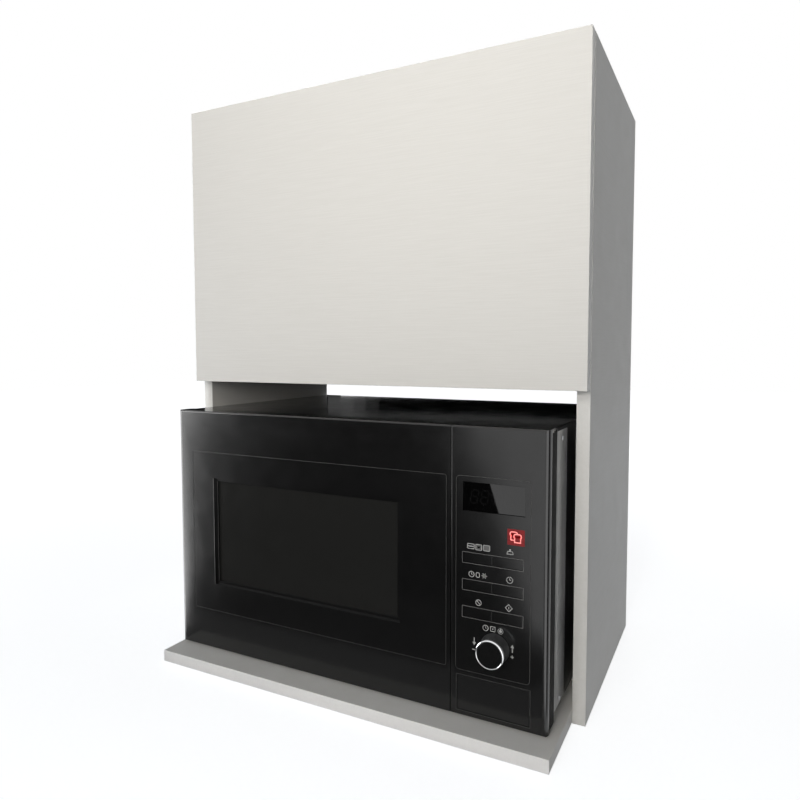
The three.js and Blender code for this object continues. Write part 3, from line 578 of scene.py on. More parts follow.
# The band that runs round all four edges of the flap.
def addFlapBand():
    low, high = nodeLow["flap_door"], nodeHigh["flap_door"]
    proud, thick = bandSettings["proud"], bandSettings["thick"]
    band = cubeBetween(
        "edge_band_flap",
        (low.x - proud, low.y + 0.02, low.z - proud),
        (high.x + proud, high.y - 0.02, high.z + proud),
    )
    startEdit(band)
    chooseFaces(band, lambda middle, normal: abs(normal.y) > 0.9)
    bpy.ops.mesh.inset(thickness=(thick + proud) * mm)
    bpy.ops.mesh.delete(type="FACE")
    bpy.ops.mesh.select_all(action="SELECT")
    chooseEdges(band, lambda middle, along: insideFlapBand(middle, low, high, thick))
    bpy.ops.mesh.bridge_edge_loops()
    endFacingOut()
    roundEdges(band, bandSettings["corner"])
    finishPiece(band, "edgeBand", "flap")


def insideFlapBand(middle, low, high, thick):
    reach = thick / 2
    inX = low.x + reach < middle.x < high.x - reach
    inZ = low.z + reach < middle.z < high.z - reach
    return inX and inZ


for node in ("side_panel_left", "side_panel_right", "top_panel", "compartment_floor"):
    addFrontBand(node, "edgeBand")
# The shelf band is painted lighter than the other bands, as painted light on the shelf front.
addFrontBand("microwave_shelf", "shelfBandPaintedLight")
addFlapBand()

screwSettings = {"head": 3.6, "dome": 1.3, "slot": (4.0, 0.8), "slotDepth": 0.8}


# A domed head with a cross recess, modelled once with its rim at the origin, facing -Y.
def makeScrewHead():
    r, h = screwSettings["head"], screwSettings["dome"]
    head = turnedPiece("screw_pattern", (0, 0, 0), faceFront, [
        (r, 0), (r, 0.35 * h), (0.92 * r, 0.62 * h), (0.72 * r, 0.87 * h), (0.40 * r, h),
    ], 28)
    long, wide = screwSettings["slot"]
    deep = screwSettings["slotDepth"]
    bars = [
        cubeBetween("slot_a", (-long / 2, -h - 1, -wide / 2), (long / 2, -h + deep, wide / 2)),
        cubeBetween("slot_b", (-wide / 2, -h - 1, -long / 2), (wide / 2, -h + deep, long / 2)),
    ]
    for bar in bars:
        applyModifier(head, "recess", "BOOLEAN", operation="DIFFERENCE", object=bar, solver="EXACT")
        bpy.data.objects.remove(bar)
    return head


screwHead = makeScrewHead()


# facing is the way the head points, away from the surface that it sits on.
def addScrew(name, place, facing, body, size):
    screw = copyPiece(screwHead, name)
    screw.scale = even(size)
    turns = {"-y": (0, 0, 0), "+y": (0, 0, 180), "+x": (0, 0, 90), "-x": (0, 0, -90), "-z": (90, 0, 0)}
    screw.rotation_euler = [math.radians(angle) for angle in turns[facing]]
    screw.location = Vector(place) * mm
    applyPlace(screw)
    finishPiece(screw, "zincPlate", body)


fittingSettings = {
    "cupScrewX": 22, "cupScrewZ": 783.4, "hingeScrewX": 11, "hingeScrewY": -76, "hingeScrewDrop": 3,
    "liftFaceX": 269.7, "liftScrews": (("front", -76, 778), ("rear", -20, 778), ("lower", -20, 700)),
    "bracketX": 273, "bracketZ": 690, "bracketScrewZ": 16.5, "bracketFace": 2.5,
    "hangerX": 272.6, "hangerScrews": (("upper", 776), ("lower", 750)),
}


def addCabinetFittings():
    f = fittingSettings
    for side, sign in bothSides:
        cup = nodeLow[f"hinge_cup_{side}"], nodeHigh[f"hinge_cup_{side}"]
        middle = (cup[0].x + cup[1].x) / 2
        for end, dx in (("inner", -f["cupScrewX"]), ("outer", f["cupScrewX"])):
            place = (middle + dx, cup[1].y, f["cupScrewZ"])
            addScrew(f"cup_screw_{side}_{end}", place, "+y", "flap", 0.85)
        for end, dx in (("inner", -f["hingeScrewX"]), ("outer", f["hingeScrewX"])):
            armTop = nodeHigh[f"hinge_arm_{side}"].z
            place = (middle + dx, f["hingeScrewY"], armTop - f["hingeScrewDrop"])
            addScrew(f"hinge_screw_{side}_{end}", place, "-z", "cabinet", 0.8)
        inner = sign * f["liftFaceX"]
        facing = "-x" if sign > 0 else "+x"
        for end, y, z in f["liftScrews"]:
            addScrew(f"lift_screw_{side}_{end}", (inner, y, z), facing, "cabinet", 0.9)
        face = nodeLow[f"flap_bracket_{side}"].y + f["bracketFace"]
        for end, dz in (("upper", f["bracketScrewZ"]), ("lower", -f["bracketScrewZ"])):
            place = (sign * f["bracketX"], face, f["bracketZ"] + dz)
            addScrew(f"bracket_screw_{side}_{end}", place, "+y", "flap", 0.8)
        hanger = nodeLow[f"wall_hanger_{side}"]
        for end, z in f["hangerScrews"]:
            addScrew(f"hanger_screw_{side}_{end}", (sign * f["hangerX"], hanger.y, z), "-y", "cabinet", 1.1)


addCabinetFittings()

capSettings = {
    "radius": 8.5, "height": 1.1, "wallX": 284.0,
    "places": (
        ("top_front", 10, 772), ("top_rear", 150, 772), ("floor_front", -62, 442), ("floor_rear", 150, 442),
    ),
}


# Push-in caps over the connecting bolts, on the inner faces of the sides.
def addCoverCaps():
    r, h = capSettings["radius"], capSettings["height"]
    pattern = turnedPiece("cap_pattern", (0, 0, 0), faceFront, [
        (r, -0.4), (r, 0.3 * h), (0.95 * r, 0.75 * h), (0.84 * r, h), (0.30 * r, h), (0.22 * r, 0.75 * h),
    ], 40)
    for side, sign in bothSides:
        for corner, y, z in capSettings["places"]:
            cap = copyPiece(pattern, f"cover_cap_{side}_{corner}")
            cap.rotation_euler = (0, 0, math.radians(-90 * sign))
            cap.location = Vector((sign * capSettings["wallX"], y, z)) * mm
            applyPlace(cap)
            finishPiece(cap, "edgeBand", "cabinet")
    bpy.data.objects.remove(pattern)


addCoverCaps()


bufferSettings = {"x": 292, "z": 416, "radius": 4.2, "height": 0.92}


# Soft stops between the flap and the sides.
def addFlapBuffers():
    r, h = bufferSettings["radius"], bufferSettings["height"]
    front = nodeLow["side_panel_left"].y
    for side, sign in bothSides:
        place = (sign * bufferSettings["x"], front, bufferSettings["z"])
        buffer = turnedPiece(f"flap_buffer_{side}", place, faceFront, [
            (r, 0), (r, h - 0.57), (r - 0.4, h - 0.22), (r - 1.6, h),
        ], 28)
        finishPiece(buffer, "clearTray", "cabinet")


addFlapBuffers()
print("stage: cabinet fittings made")


# The sheet steel case of the oven.
caseSettings = {
    "corner": 4.0, "sheet": 1.0, "slotLength": 34, "slotWidth": 3.2, "slotPitch": 8.0,
    "slotRows": 9, "slotFromZ": 96, "slotColumnsY": (60, 112), "screwY": -121, "screwZ": (37, 349),
    "backScrews": (("a", -262, 345), ("b", -262, 48), ("c", 262, 345), ("d", 262, 48), ("e", 0, 350)),
}


def addCase():
    low, high = nodeLow["oven_case"], nodeHigh["oven_case"]
    case = cubeBetween("case_shell", low, high)
    startEdit(case)
    chooseFaces(case, lambda middle, normal: abs(normal.y) > 0.9 or normal.z < -0.9)
    bpy.ops.mesh.delete(type="FACE")
    chooseEdges(case, lambda middle, along: abs(along.y) > 0.9 and middle.z > high.z - 0.1)
    bpy.ops.mesh.bevel(offset=caseSettings["corner"] * mm, segments=8, affect="EDGES")
    endEdit()
    applyModifier(case, "wall", "SOLIDIFY", thickness=caseSettings["sheet"] * mm, offset=-1)
    cutSideVents(case, low, high)
    finishPiece(case, "caseEnamel", "oven", ["oven_case"])


def cutSideVents(case, low, high):
    settings = caseSettings
    slots = []
    for column, y in enumerate(settings["slotColumnsY"]):
        for row in range(settings["slotRows"]):
            z = settings["slotFromZ"] + row * settings["slotPitch"]
            slot = cubeBetween(
                f"slot_{column}_{row}", (low.x - 2, y, z),
                (high.x + 2, y + settings["slotLength"], z + settings["slotWidth"]),
            )
            slots.append(slot)
    cutter = joinPieces("vent_slots", slots)
    applyModifier(case, "vents", "BOOLEAN", operation="DIFFERENCE", object=cutter, solver="EXACT")
    bpy.data.objects.remove(cutter)


addCase()

flangeSettings = {"from": -147.85, "to": -98.5, "lift": 0.08, "z": (31.2, 359.2), "fold": -141.0}


# Bare steel strip along the front of each case wall, with the fold of the front frame before it.
def addCaseFlanges():
    f = flangeSettings
    z0, z1 = f["z"]
    for side, wall, sign in (("left", nodeLow["oven_case"].x, -1), ("right", nodeHigh["oven_case"].x, 1)):
        inner, outer = wall - sign * 0.3, wall + sign * f["lift"]
        x0, x1 = min(inner, outer), max(inner, outer)
        strip = cubeBetween(f"case_flange_{side}", (x0, f["fold"] + 0.5, z0), (x1, f["to"], z1))
        fold = cubeBetween(f"case_fold_{side}", (x0, f["from"], z0), (x1, f["fold"], z1))
        for piece in (strip, fold):
            roundEdges(piece, 0.1)
            finishPiece(piece, "flangeSteel", "oven")


addCaseFlanges()


def addOvenScrews():
    walls = (("left", nodeLow["oven_case"].x, "-x"), ("right", nodeHigh["oven_case"].x, "+x"))
    for side, wall, facing in walls:
        for end, z in zip(("lower", "upper"), caseSettings["screwZ"]):
            place = (wall, caseSettings["screwY"], z)
            addScrew(f"case_screw_{side}_{end}", place, facing, "oven", 0.8)
    back = nodeHigh["oven_back_plate"].y
    for end, x, z in caseSettings["backScrews"]:
        addScrew(f"back_screw_{end}", (x, back, z), "+y", "oven", 0.85)


addOvenScrews()


# The marks on the front are thin solid shapes.
frontY = -177.0
markSettings = {"thick": 0.14, "sink": 0.07, "line": 0.75}


# Gives a flat outline in the XZ plane its thickness, with its face just proud of the front.
def thicken(piece, y):
    startEdit(piece, "SELECT")
    thick = markSettings["thick"] * mm
    bpy.ops.mesh.extrude_region_move(TRANSFORM_OT_translate={"value": (0, thick, 0)})
    endFacingOut()
    for vertex in piece.data.vertices:
        vertex.co.y += (y - markSettings["thick"] + markSettings["sink"]) * mm
    return piece


def ngon(x, z, radius, sides, turn=0.0):
    deselectAll()
    bpy.ops.mesh.primitive_circle_add(vertices=sides, radius=radius * mm, fill_type="NGON")
    piece = bpy.context.active_object
    piece.rotation_euler = (math.radians(90), math.radians(turn), 0)
    piece.location = (x * mm, 0, z * mm)
    return settle("mark")


def hollowOut(piece, line):
    startEdit(piece, "SELECT")
    bpy.ops.mesh.inset(thickness=line * mm)
    bpy.ops.mesh.delete(type="FACE")
    endEdit()
    return piece


def disc(x, z, radius, sides=28, y=frontY):
    return [thicken(ngon(x, z, radius, sides), y)]


def ring(x, z, radius, line=None, sides=36):
    return [thicken(hollowOut(ngon(x, z, radius, sides), line or markSettings["line"]), frontY)]


# A flat sheet in the XZ plane, by its middle in metres, its two sides and its turn.
def flatSheet(middle, wide, tall, turn=0.0):
    deselectAll()
    bpy.ops.mesh.primitive_plane_add(size=1)
    sheet = bpy.context.active_object
    sheet.scale = (wide * mm, tall * mm, 1)
    sheet.rotation_euler = (math.radians(90), turn, 0)
    sheet.location = middle
    return settle("mark")


def bar(x0, z0, x1, z1, line=None, y=frontY):
    start, end = Vector((x0, 0, z0)), Vector((x1, 0, z1))
    reach = end - start
    turn = -math.atan2(reach.z, reach.x)
    return [thicken(flatSheet((start + end) / 2 * mm, reach.length, line or markSettings["line"], turn), y)]


# A frame of the given line, or a plain sheet where the line is 0.
def rounded(x0, x1, z0, z1, corner, line, y=frontY):
    piece = flatSheet(((x0 + x1) / 2 * mm, 0, (z0 + z1) / 2 * mm), x1 - x0, z1 - z0)
    startEdit(piece, "SELECT")
    if corner:
        bpy.ops.mesh.bevel(offset=corner * mm, segments=5, affect="VERTICES")
    if line:
        bpy.ops.mesh.select_all(action="SELECT")
        bpy.ops.mesh.inset(thickness=line * mm)
        bpy.ops.mesh.delete(type="FACE")
    endEdit()
    return [thicken(piece, y)]


def clockMark(x, z, r=3.6):
    return ring(x, z, r) + bar(x, z, x, z + 0.6 * r, 0.6) + bar(x, z, x + 0.45 * r, z, 0.6)


def squareMark(x, z, r=2.9):
    return rounded(x - r, x + r, z - r, z + r, 0.8, 0.7) + disc(x, z, 0.9, 16)


def flakeMark(x, z, r=3.4):
    marks = []
    for turn in (0, 60, 120):
        dx, dz = r * math.cos(math.radians(turn)), r * math.sin(math.radians(turn))
        marks += bar(x - dx, z - dz, x + dx, z + dz, 0.8)
    return marks + disc(x, z, 2.3, 12)


def bowlMark(x, z):
    marks = bar(x - 4, z - 2.6, x + 4, z - 2.6)
    marks += bar(x - 4, z - 2.6, x - 2.6, z + 0.6)
    marks += bar(x + 4, z - 2.6, x + 2.6, z + 0.6)
    marks += bar(x - 2.6, z + 0.6, x + 2.6, z + 0.6)
    return marks + disc(x, z + 2.2, 1.1, 16)


def dropMark(x, z):
    return disc(x, z - 0.8, 1.7, 20) + bar(x, z + 2.8, x, z, 1.1) + ring(x, z - 0.8, 3.3, 0.5)


def stopMark(x, z, r=3.7):
    return ring(x, z, r) + bar(x - 0.6 * r, z + 0.6 * r, x + 0.6 * r, z - 0.6 * r)


def startMark(x, z, r=4.6):
    return ring(x, z, r, 0.7, 4) + bar(x, z - 1.5, x, z + 1.5, 0.7)


def traysMark(x, z):
    wide = rounded(x - 4.6, x + 4.6, z - 3.2, z + 3.2, 1.4, 0.8)
    return wide + bar(x - 3.4, z, x + 3.4, z, 1.2)


def boxMark(x, z):
    outer = rounded(x - 3.9, x + 3.9, z - 3.5, z + 3.5, 0.6, 0.8)
    return outer + rounded(x - 2.3, x + 2.3, z - 1.9, z + 1.9, 0.4, 0.3)


def panMark(x, z):
    return rounded(x - 4.4, x + 4.4, z - 3.7, z + 3.5, 1.6, 0.8)


def ovalMark(x, z):
    return rounded(x - 2.4, x + 2.4, z - 3.1, z + 3.1, 1.7, 0.75)


def arrowMark(x, z, up):
    s = 1 if up else -1
    shaft = bar(x, z - 4.4 * s, x, z + 1.6 * s, 1.0)
    return shaft + [thicken(ngon(x, z + 2.4 * s, 2.5, 3, 0 if up else 180), frontY)]


# Each row is a mark, its place in x and z, and what else it takes.
markPlaces = {
    "marks_left_keys": [
        (traysMark, 180.1, 223.7), (boxMark, 189.8, 223.6), (panMark, 199.4, 223.9),
        (clockMark, 181.1, 190.8), (ovalMark, 188.9, 190.9), (flakeMark, 196.8, 191.0),
        (stopMark, 190.0, 158.3),
    ],
    "marks_right_keys": [
        (bowlMark, 227.6, 223.4), (clockMark, 227.4, 190.9, 3.9), (startMark, 226.6, 158.5),
    ],
    "marks_knob": [
        (clockMark, 198.8, 130.1), (squareMark, 207.7, 130.4, 3.1), (dropMark, 217.0, 130.3),
        (arrowMark, 184.9, 111.6, False), (bar, 182.6, 101.6, 186.2, 101.6, 0.9),
        (arrowMark, 231.2, 111.8, True), (bar, 229.3, 102.3, 233.1, 102.3, 0.9),
        (bar, 231.2, 100.4, 231.2, 104.2, 0.9),
    ],
}


def finishMarks(name, marks, finish, body="oven"):
    finishPiece(joinPieces(name, marks), finish, body)


def addMarks():
    for name, rows in markPlaces.items():
        marks = []
        for shape, *numbers in rows:
            marks += shape(*numbers)
        finishMarks(name, marks, "paleInk")


addMarks()

# Frames are left and right x, low and high z, the corner and the line. The painted glints are bars: light ink
# lines that stand in for highlights on the window's left reveal.
lineSettings = {
    "keyMargin": 0.75, "keyLine": 0.65, "keyCorner": 0.8, "keyGap": 0.4, "keyLip": 1.9,
    "grooveFloor": -176.62,
    "panMiddle": (195.9, 202.9, 221.1, 226.7, 0.9, 0),
    "panel": (161.05, 251.95, 73.55, 305.95, 4.9, 0.6),
    "door": (-253.95, 148.95, 74.55, 305.45, 2.9, 0.5),
    "button": (162.2, 252.8, 24.2, 68.3, 0.6, 0.45),
    "paintedGlints": ((-215.35, 114.2, -215.35, 268.3, 0.7), (-210.9, 118.6, -210.9, 263.9, 0.6, -173.5)),
}


# Pale frames round each row of keys, the lines that lie in the two grooves, and painted highlight lines on
# the window's left reveal.
def addLines():
    s = lineSettings
    frames = []
    for row in ("upper", "middle", "lower"):
        low, high = nodeLow[f"key_{row}_left"], nodeHigh[f"key_{row}_right"]
        margin, gap = s["keyMargin"], s["keyGap"]
        lip = s["keyLip"]  # the key's lips reach past the cap behind the fascia
        z0, z1 = low.z + lip - margin - gap, high.z - lip + margin + gap
        frames += rounded(low.x - gap - margin, high.x + gap + margin, z0, z1, s["keyCorner"], s["keyLine"])
    frames += rounded(*s["panMiddle"])
    finishMarks("key_row_frames", frames, "frameInk")
    finishMarks("panel_line", rounded(*s["panel"], s["grooveFloor"]), "lineInkAndPaintedGlint")
    finishMarks("door_line", rounded(*s["door"], s["grooveFloor"]), "lineInkAndPaintedGlint", "oven_door")
    finishMarks("release_line", rounded(*s["button"]), "lineInkAndPaintedGlint")
    # Painted highlights: light ink bars on the window's left reveal, where its edges catch light.
    nearPaintedGlint, farPaintedGlint = s["paintedGlints"]
    finishMarks("window_painted_glint", bar(*nearPaintedGlint) + bar(*farPaintedGlint), "lineInkAndPaintedGlint", "oven_door")


# The rounded edge of the fascia along the door, and its matt right side.
def addFasciaEdge():
    low, high = nodeLow["control_fascia"], nodeHigh["control_fascia"]
    edge = cubeBetween(
        "fascia_edge", (low.x + 0.02, frontY - 0.06, low.z + 1), (low.x + 1.7, frontY + 1, high.z - 1),
    )
    roundEdges(edge, 0.75, 3)
    finishPiece(edge, "blackFront", "oven")
    side = cubeBetween(
        "fascia_side", (high.x - 0.5, -169.6, low.z + 4), (high.x + 0.06, -148.6, high.z - 4),
    )
    roundEdges(side, 0.1)
    finishPiece(side, "blackMatte", "oven")


addLines()
addFasciaEdge()

redKeySettings = {"x": (224.3, 244.5), "z": (231.6, 250.0), "corner": 0.8, "line": 1.2}


# Two slices of bread on a printed red square; square and slices are given a painted glow. Each slice is a
# pale shape with a smaller red one on it.
def sliceMark(x, z, grow, y):
    head = rounded(x - 3.7 - grow, x + 3.7 + grow, z + 0.3 - grow, z + 4.0 + grow, 1.7 + grow, 0, y)
    return head + rounded(x - 2.9 - grow, x + 2.9 + grow, z - 4.2 - grow, z + 2.4, 0.7, 0, y)


def addRedSymbol():
    x0, x1 = redKeySettings["x"]
    z0, z1 = redKeySettings["z"]
    x, z = (x0 + x1) / 2, (z0 + z1) / 2
    layers = [frontY - 0.03 * step for step in range(5)]
    line = redKeySettings["line"]
    field = rounded(x0, x1, z0, z1, redKeySettings["corner"], 0, layers[0])
    field += sliceMark(x - 2.6, z + 1.5, 0, layers[2]) + sliceMark(x + 1.9, z - 0.9, 0, layers[4])
    finishMarks("red_symbol_field", field, "redPaintedGlow")
    slices = sliceMark(x - 2.6, z + 1.5, line, layers[1]) + sliceMark(x + 1.9, z - 0.9, line, layers[3])
    finishMarks("red_symbol_slices", slices, "pinkPaintedGlow")


addRedSymbol()

digitSettings = {"height": 15.5, "width": 8.6, "line": 1.5, "firstX": 179.5, "z": 282.2, "slant": 1.2,
                 "shifts": (0, 12.6, 29.4, 42.0), "colon": 25.3}


# Four unlit seven-segment digits and a colon, seen faintly in the display.
def addDigits():
    s = digitSettings
    y = nodeLow["display_window"].y
    marks = []
    for shift in s["shifts"]:
        x0 = s["firstX"] + shift
        x1 = x0 + s["width"]
        for level in (-1, 0, 1):
            z = s["z"] + level * s["height"] / 2
            lean = level * s["slant"]
            marks += bar(x0 + 1.2 + lean, z, x1 - 1.2 + lean, z, s["line"], y)
        for level in (-1, 1):
            za, zb = s["z"] + level * 0.9, s["z"] + level * (s["height"] / 2 - 0.9)
            for x in (x0, x1):
                marks += bar(x + 0.15 * level, za, x + level * s["slant"], zb, s["line"], y)
    for dz in (-3.2, 3.2):
        marks += disc(s["firstX"] + s["colon"], s["z"] + dz, 1.0, 16, y)
    finishMarks("display_digits", marks, "faintInk")


addDigits()
print("stage: marks on the front made")


# The sheet of holes behind the door glass.
screenSettings = {"pitch": 3.0, "bridge": 0.55, "border": 8.0, "sheet": 0.8}


# Perforated sheet: every cell of a grid is inset and its middle taken out.
def addDoorScreen():
    low, high = nodeLow["door_screen"], nodeHigh["door_screen"]
    border, pitch = screenSettings["border"], screenSettings["pitch"]
    columns = int((high.x - low.x - 2 * border) / pitch)
    rows = int((high.z - low.z - 2 * border) / pitch)
    deselectAll()
    bpy.ops.mesh.primitive_grid_add(x_subdivisions=columns, y_subdivisions=rows, size=1)
    screen = bpy.context.active_object
    screen.scale = ((high.x - low.x - 2 * border) * mm, (high.z - low.z - 2 * border) * mm, 1)
    screen.rotation_euler = (math.radians(90), 0, 0)
    screen.location = Vector(((low.x + high.x) / 2, low.y, (low.z + high.z) / 2)) * mm
    screen = settle("door_screen_mesh")
    startEdit(screen, "SELECT")
    bpy.ops.mesh.inset(thickness=screenSettings["bridge"] * mm, use_individual=True)
    bpy.ops.mesh.delete(type="FACE")
    chooseEdges(screen, lambda middle, along: onRim(middle, low, high, border))
    bpy.ops.mesh.extrude_edges_move(TRANSFORM_OT_translate={"value": (0, 0, 0)})
    centre = (low + high) / 2 * mm
    wide, tall = high.x - low.x, high.z - low.z
    share = (wide / (wide - 2 * border), 1, tall / (tall - 2 * border))
    bpy.ops.transform.resize(value=share, center_override=centre)
    endEdit()
    applyModifier(screen, "sheet", "SOLIDIFY", thickness=screenSettings["sheet"] * mm, offset=1)
    finishPiece(screen, "screenPaint", "oven_door", ["door_screen"])


def onRim(middle, low, high, border):
    atX = min(abs(middle.x - low.x - border), abs(middle.x - high.x + border)) < 0.01
    atZ = min(abs(middle.z - low.z - border), abs(middle.z - high.z + border)) < 0.01
    return atX or atZ


addDoorScreen()

knobSettings = {"x": 210.5, "z": 108.5, "base": -177.6, "radius": 17.6, "height": 19.4}


def addKnob():
    k = knobSettings
    r, h = k["radius"], k["height"]
    knob = turnedPiece("knob_cap", (k["x"], k["base"], k["z"]), faceFront, [
        (r, 0), (r, 0.8), (r - 0.35, 1.6), (r - 0.9, h - 4.6), (r - 1.0, h - 3.7), (r - 2.45, h - 3.6),
        (r - 2.45, h - 0.8), (r - 3.0, h - 0.9),
    ], 96)
    stem = turnedPiece("knob_stem", (k["x"], k["base"] + 0.2, k["z"]), (-90, 0, 0), [(3, 0), (3, 17)], 24)
    knob = joinPieces("knob_cap", [knob, stem])
    # The knob's wall gets the lighter knob plastic, a painted sheen, while its face stays black.
    finishPiece(knob, "knobWallPaintedSheen", "knob", ["knob_body"])
    ringPiece = turnedPiece("knob_chrome", (k["x"], k["base"], k["z"]), faceFront, [
        (r - 0.5, h - 3.25), (r - 0.5, h - 1.5), (r - 0.62, h - 0.8), (r - 0.95, h - 0.2), (r - 1.4, h + 0.2),
        (r - 1.85, h + 0.36), (r - 2.2, h + 0.1), (r - 2.3, h - 0.5), (r - 2.3, h - 3.25),
    ], 96)
    startEdit(ringPiece)
    chooseFaces(ringPiece, lambda middle, normal: abs(normal.y) > 0.99 and isHub(middle))
    bpy.ops.mesh.delete(type="FACE")
    foot = (k["base"] - h + 3.25) - 0.01
    chooseEdges(ringPiece, lambda middle, along: middle.y > foot)
    bpy.ops.mesh.bridge_edge_loops()
    endFacingOut()
    finishPiece(ringPiece, "chrome", "knob", ["knob_ring"])
    face = turnedPiece("knob_face", (k["x"], k["base"], k["z"]), faceFront, [
        (r - 2.5, h - 1.4), (r - 2.5, h - 0.35), (r - 3.0, h - 0.05), (r - 6.0, h - 0.12),
        (r - 12.0, h - 0.2),
    ], 96)
    finishPiece(face, "blackFront", "knob")


def isHub(middle):
    away = math.hypot(middle.x - knobSettings["x"], middle.z - knobSettings["z"])
    return away < 1.0


addKnob()


def addTray():
    low, high = nodeLow["glass_tray"], nodeHigh["glass_tray"]
    centre = (low + high) / 2
    r = (high.x - low.x) / 2
    tray = turnedPiece("tray_glass", (centre.x, centre.y, 0), (0, 0, 0), [
        (r - 14.0, 97.7), (r - 12.0, 97.75), (r - 5.0, 101.9), (r - 1.0, 105.4), (r, 107.2), (r - 0.5, 108.0),
        (r - 2.2, 107.9), (r - 4.2, 106.0), (r - 8.5, 103.4), (r - 13.0, 101.8), (r - 16.0, 101.5),
        (r - 40.0, 101.5), (r - 41.0, 101.2), (r - 43.0, 101.2), (r - 44.0, 101.5), (r - 80.0, 101.5),
        (r - 81.0, 101.2), (r - 83.0, 101.2), (r - 84.0, 101.5), (r - 128.0, 101.5),
    ], 96)
    collar = turnedPiece("tray_collar", (centre.x, centre.y, 0), (0, 0, 0), [(18, 91.6), (18, 97.8)], 48)
    startEdit(collar)
    chooseFaces(collar, lambda middle, normal: abs(normal.z) > 0.9)
    bpy.ops.mesh.inset(thickness=3 * mm)
    bpy.ops.mesh.delete(type="FACE")
    chooseEdges(collar, lambda edgeMiddle, along: abs(along.z) < 0.1 and nearCollarBore(edgeMiddle, centre))
    bpy.ops.mesh.bridge_edge_loops()
    endFacingOut()
    tray = joinPieces("tray_glass", [tray, collar])
    finishPiece(tray, "clearTray", "tray", ["glass_tray"])


def nearCollarBore(middle, centre):
    return math.hypot(middle.x - centre.x, middle.y - centre.y) < 16


addTray()


waveCoverSettings = {"wallX": 115.0, "y": (-27, 47), "z": (228, 282), "screwsY": (-22, 42)}


# The sheet over the wave guide, in the cavity's right wall.
def addWaveCover():
    wall = waveCoverSettings["wallX"]
    y0, y1 = waveCoverSettings["y"]
    z0, z1 = waveCoverSettings["z"]
    cover = cubeBetween("wave_cover", (wall - 0.9, y0, z0), (wall - 0.2, y1, z1))
    roundEdges(cover, 0.2)
    finishPiece(cover, "micaSheet", "oven")
    for end, y in zip(("front", "rear"), waveCoverSettings["screwsY"]):
        addScrew(f"wave_cover_screw_{end}", (wall - 0.9, y, (z0 + z1) / 2), "-x", "oven", 0.6)


addWaveCover()
bpy.data.objects.remove(screwHead)
print("stage: oven pieces made")


# Pale floor, studio light and white background.
studio = {
    "floorSize": 14.0,
    "floorAlbedo": (0.475, 0.50, 0.535, 1),
    "floorGlow": (0.80, 1.0),
    "glowReach": (0.6, 2.2),  # metres from the middle, between which the glow rises
    "skyFront": 0.36,
    "skyBack": 0.12,
    "skyReach": (-0.6, 0.6),
    "skyTint": (0.81, 0.90, 1.0, 1),
    "sideShare": (1.1, 0.15),
    "lampTint": (1.0, 0.965, 0.915),
}

lampSettings = [
    # name, place, aim, size, energy, spread in degrees
    ("key", (0.28, -1.75, 0.80), (0.0, 0.0, 0.45), (1.1, 0.7), 14.2, 180),
    ("back", (0.3, 1.9, 2.4), (0.0, 0.2, 0.5), (1.4, 1.0), 14.0, 180),
    ("shelf", (0.05, -1.30, 0.30), (0.0, -0.20, 0.0), (0.85, 0.05), 0.06, 22),
]
topSpot = {"place": (0.30, -1.7, 1.7), "aim": (0.03, -0.12, 0.99), "cone": 50, "energy": 65.0}


def pointLamp(lamp, name, place, aim, energy):
    lamp.name = f"lamp_{name}"
    lamp.data.energy = energy
    lamp.rotation_euler = (Vector(aim) - Vector(place)).to_track_quat("-Z", "Y").to_euler()
    lamp.data.color = studio["lampTint"]
    lamp.visible_camera = False
    lamp.visible_glossy = False


def addLamp(name, place, aim, size, energy, spread):
    bpy.ops.object.light_add(type="AREA", location=place)
    lamp = bpy.context.active_object
    lamp.data.shape = "RECTANGLE"
    lamp.data.size, lamp.data.size_y = size
    lamp.data.spread = math.radians(spread)
    pointLamp(lamp, name, place, aim, energy)


def addTopSpot():
    bpy.ops.object.light_add(type="SPOT", location=topSpot["place"])
    lamp = bpy.context.active_object
    lamp.data.spot_size = math.radians(topSpot["cone"])
    lamp.data.spot_blend = 1.0
    lamp.data.shadow_soft_size = 0.15
    pointLamp(lamp, "top", topSpot["place"], topSpot["aim"], topSpot["energy"])


# Camera, mirror and glass rays see the plain background; all others see the light that falls.
def backgroundShare(tree):
    path = tree.nodes.new("ShaderNodeLightPath")
    last = path.outputs["Is Camera Ray"]
    for ray in ("Is Glossy Ray", "Is Transmission Ray"):
        either = tree.nodes.new("ShaderNodeMath")
        either.operation = "MAXIMUM"
        tree.links.new(last, either.inputs[0])
        tree.links.new(path.outputs[ray], either.inputs[1])
        last = either.outputs["Value"]
    return last


def addWorld():
    world = bpy.data.worlds.new("studio")
    bpy.context.scene.world = world
    world.use_nodes = True
    tree = world.node_tree
    tree.nodes.clear()
    place = tree.nodes.new("ShaderNodeTexCoord")
    split = tree.nodes.new("ShaderNodeSeparateXYZ")
    tree.links.new(place.outputs["Generated"], split.inputs["Vector"])
    sky = tree.nodes.new("ShaderNodeBackground")
    setInputs(sky, {"Color": studio["skyTint"]})
    depth = rangeNode(tree, split.outputs["Y"], *studio["skyReach"], studio["skyFront"], studio["skyBack"])
    across = rangeNode(tree, split.outputs["X"], *studio["skyReach"], *studio["sideShare"])
    level = tree.nodes.new("ShaderNodeMath")
    level.operation = "MULTIPLY"
    tree.links.new(depth, level.inputs[0])
    tree.links.new(across, level.inputs[1])
    tree.links.new(level.outputs["Value"], sky.inputs["Strength"])
    plain = tree.nodes.new("ShaderNodeBackground")
    setInputs(plain, {"Color": (1, 1, 1, 1)})
    mix = tree.nodes.new("ShaderNodeMixShader")
    tree.links.new(backgroundShare(tree), mix.inputs["Fac"])
    tree.links.new(sky.outputs["Background"], mix.inputs[1])
    tree.links.new(plain.outputs["Background"], mix.inputs[2])
    out = tree.nodes.new("ShaderNodeOutputWorld")
    tree.links.new(mix.outputs["Shader"], out.inputs["Surface"])


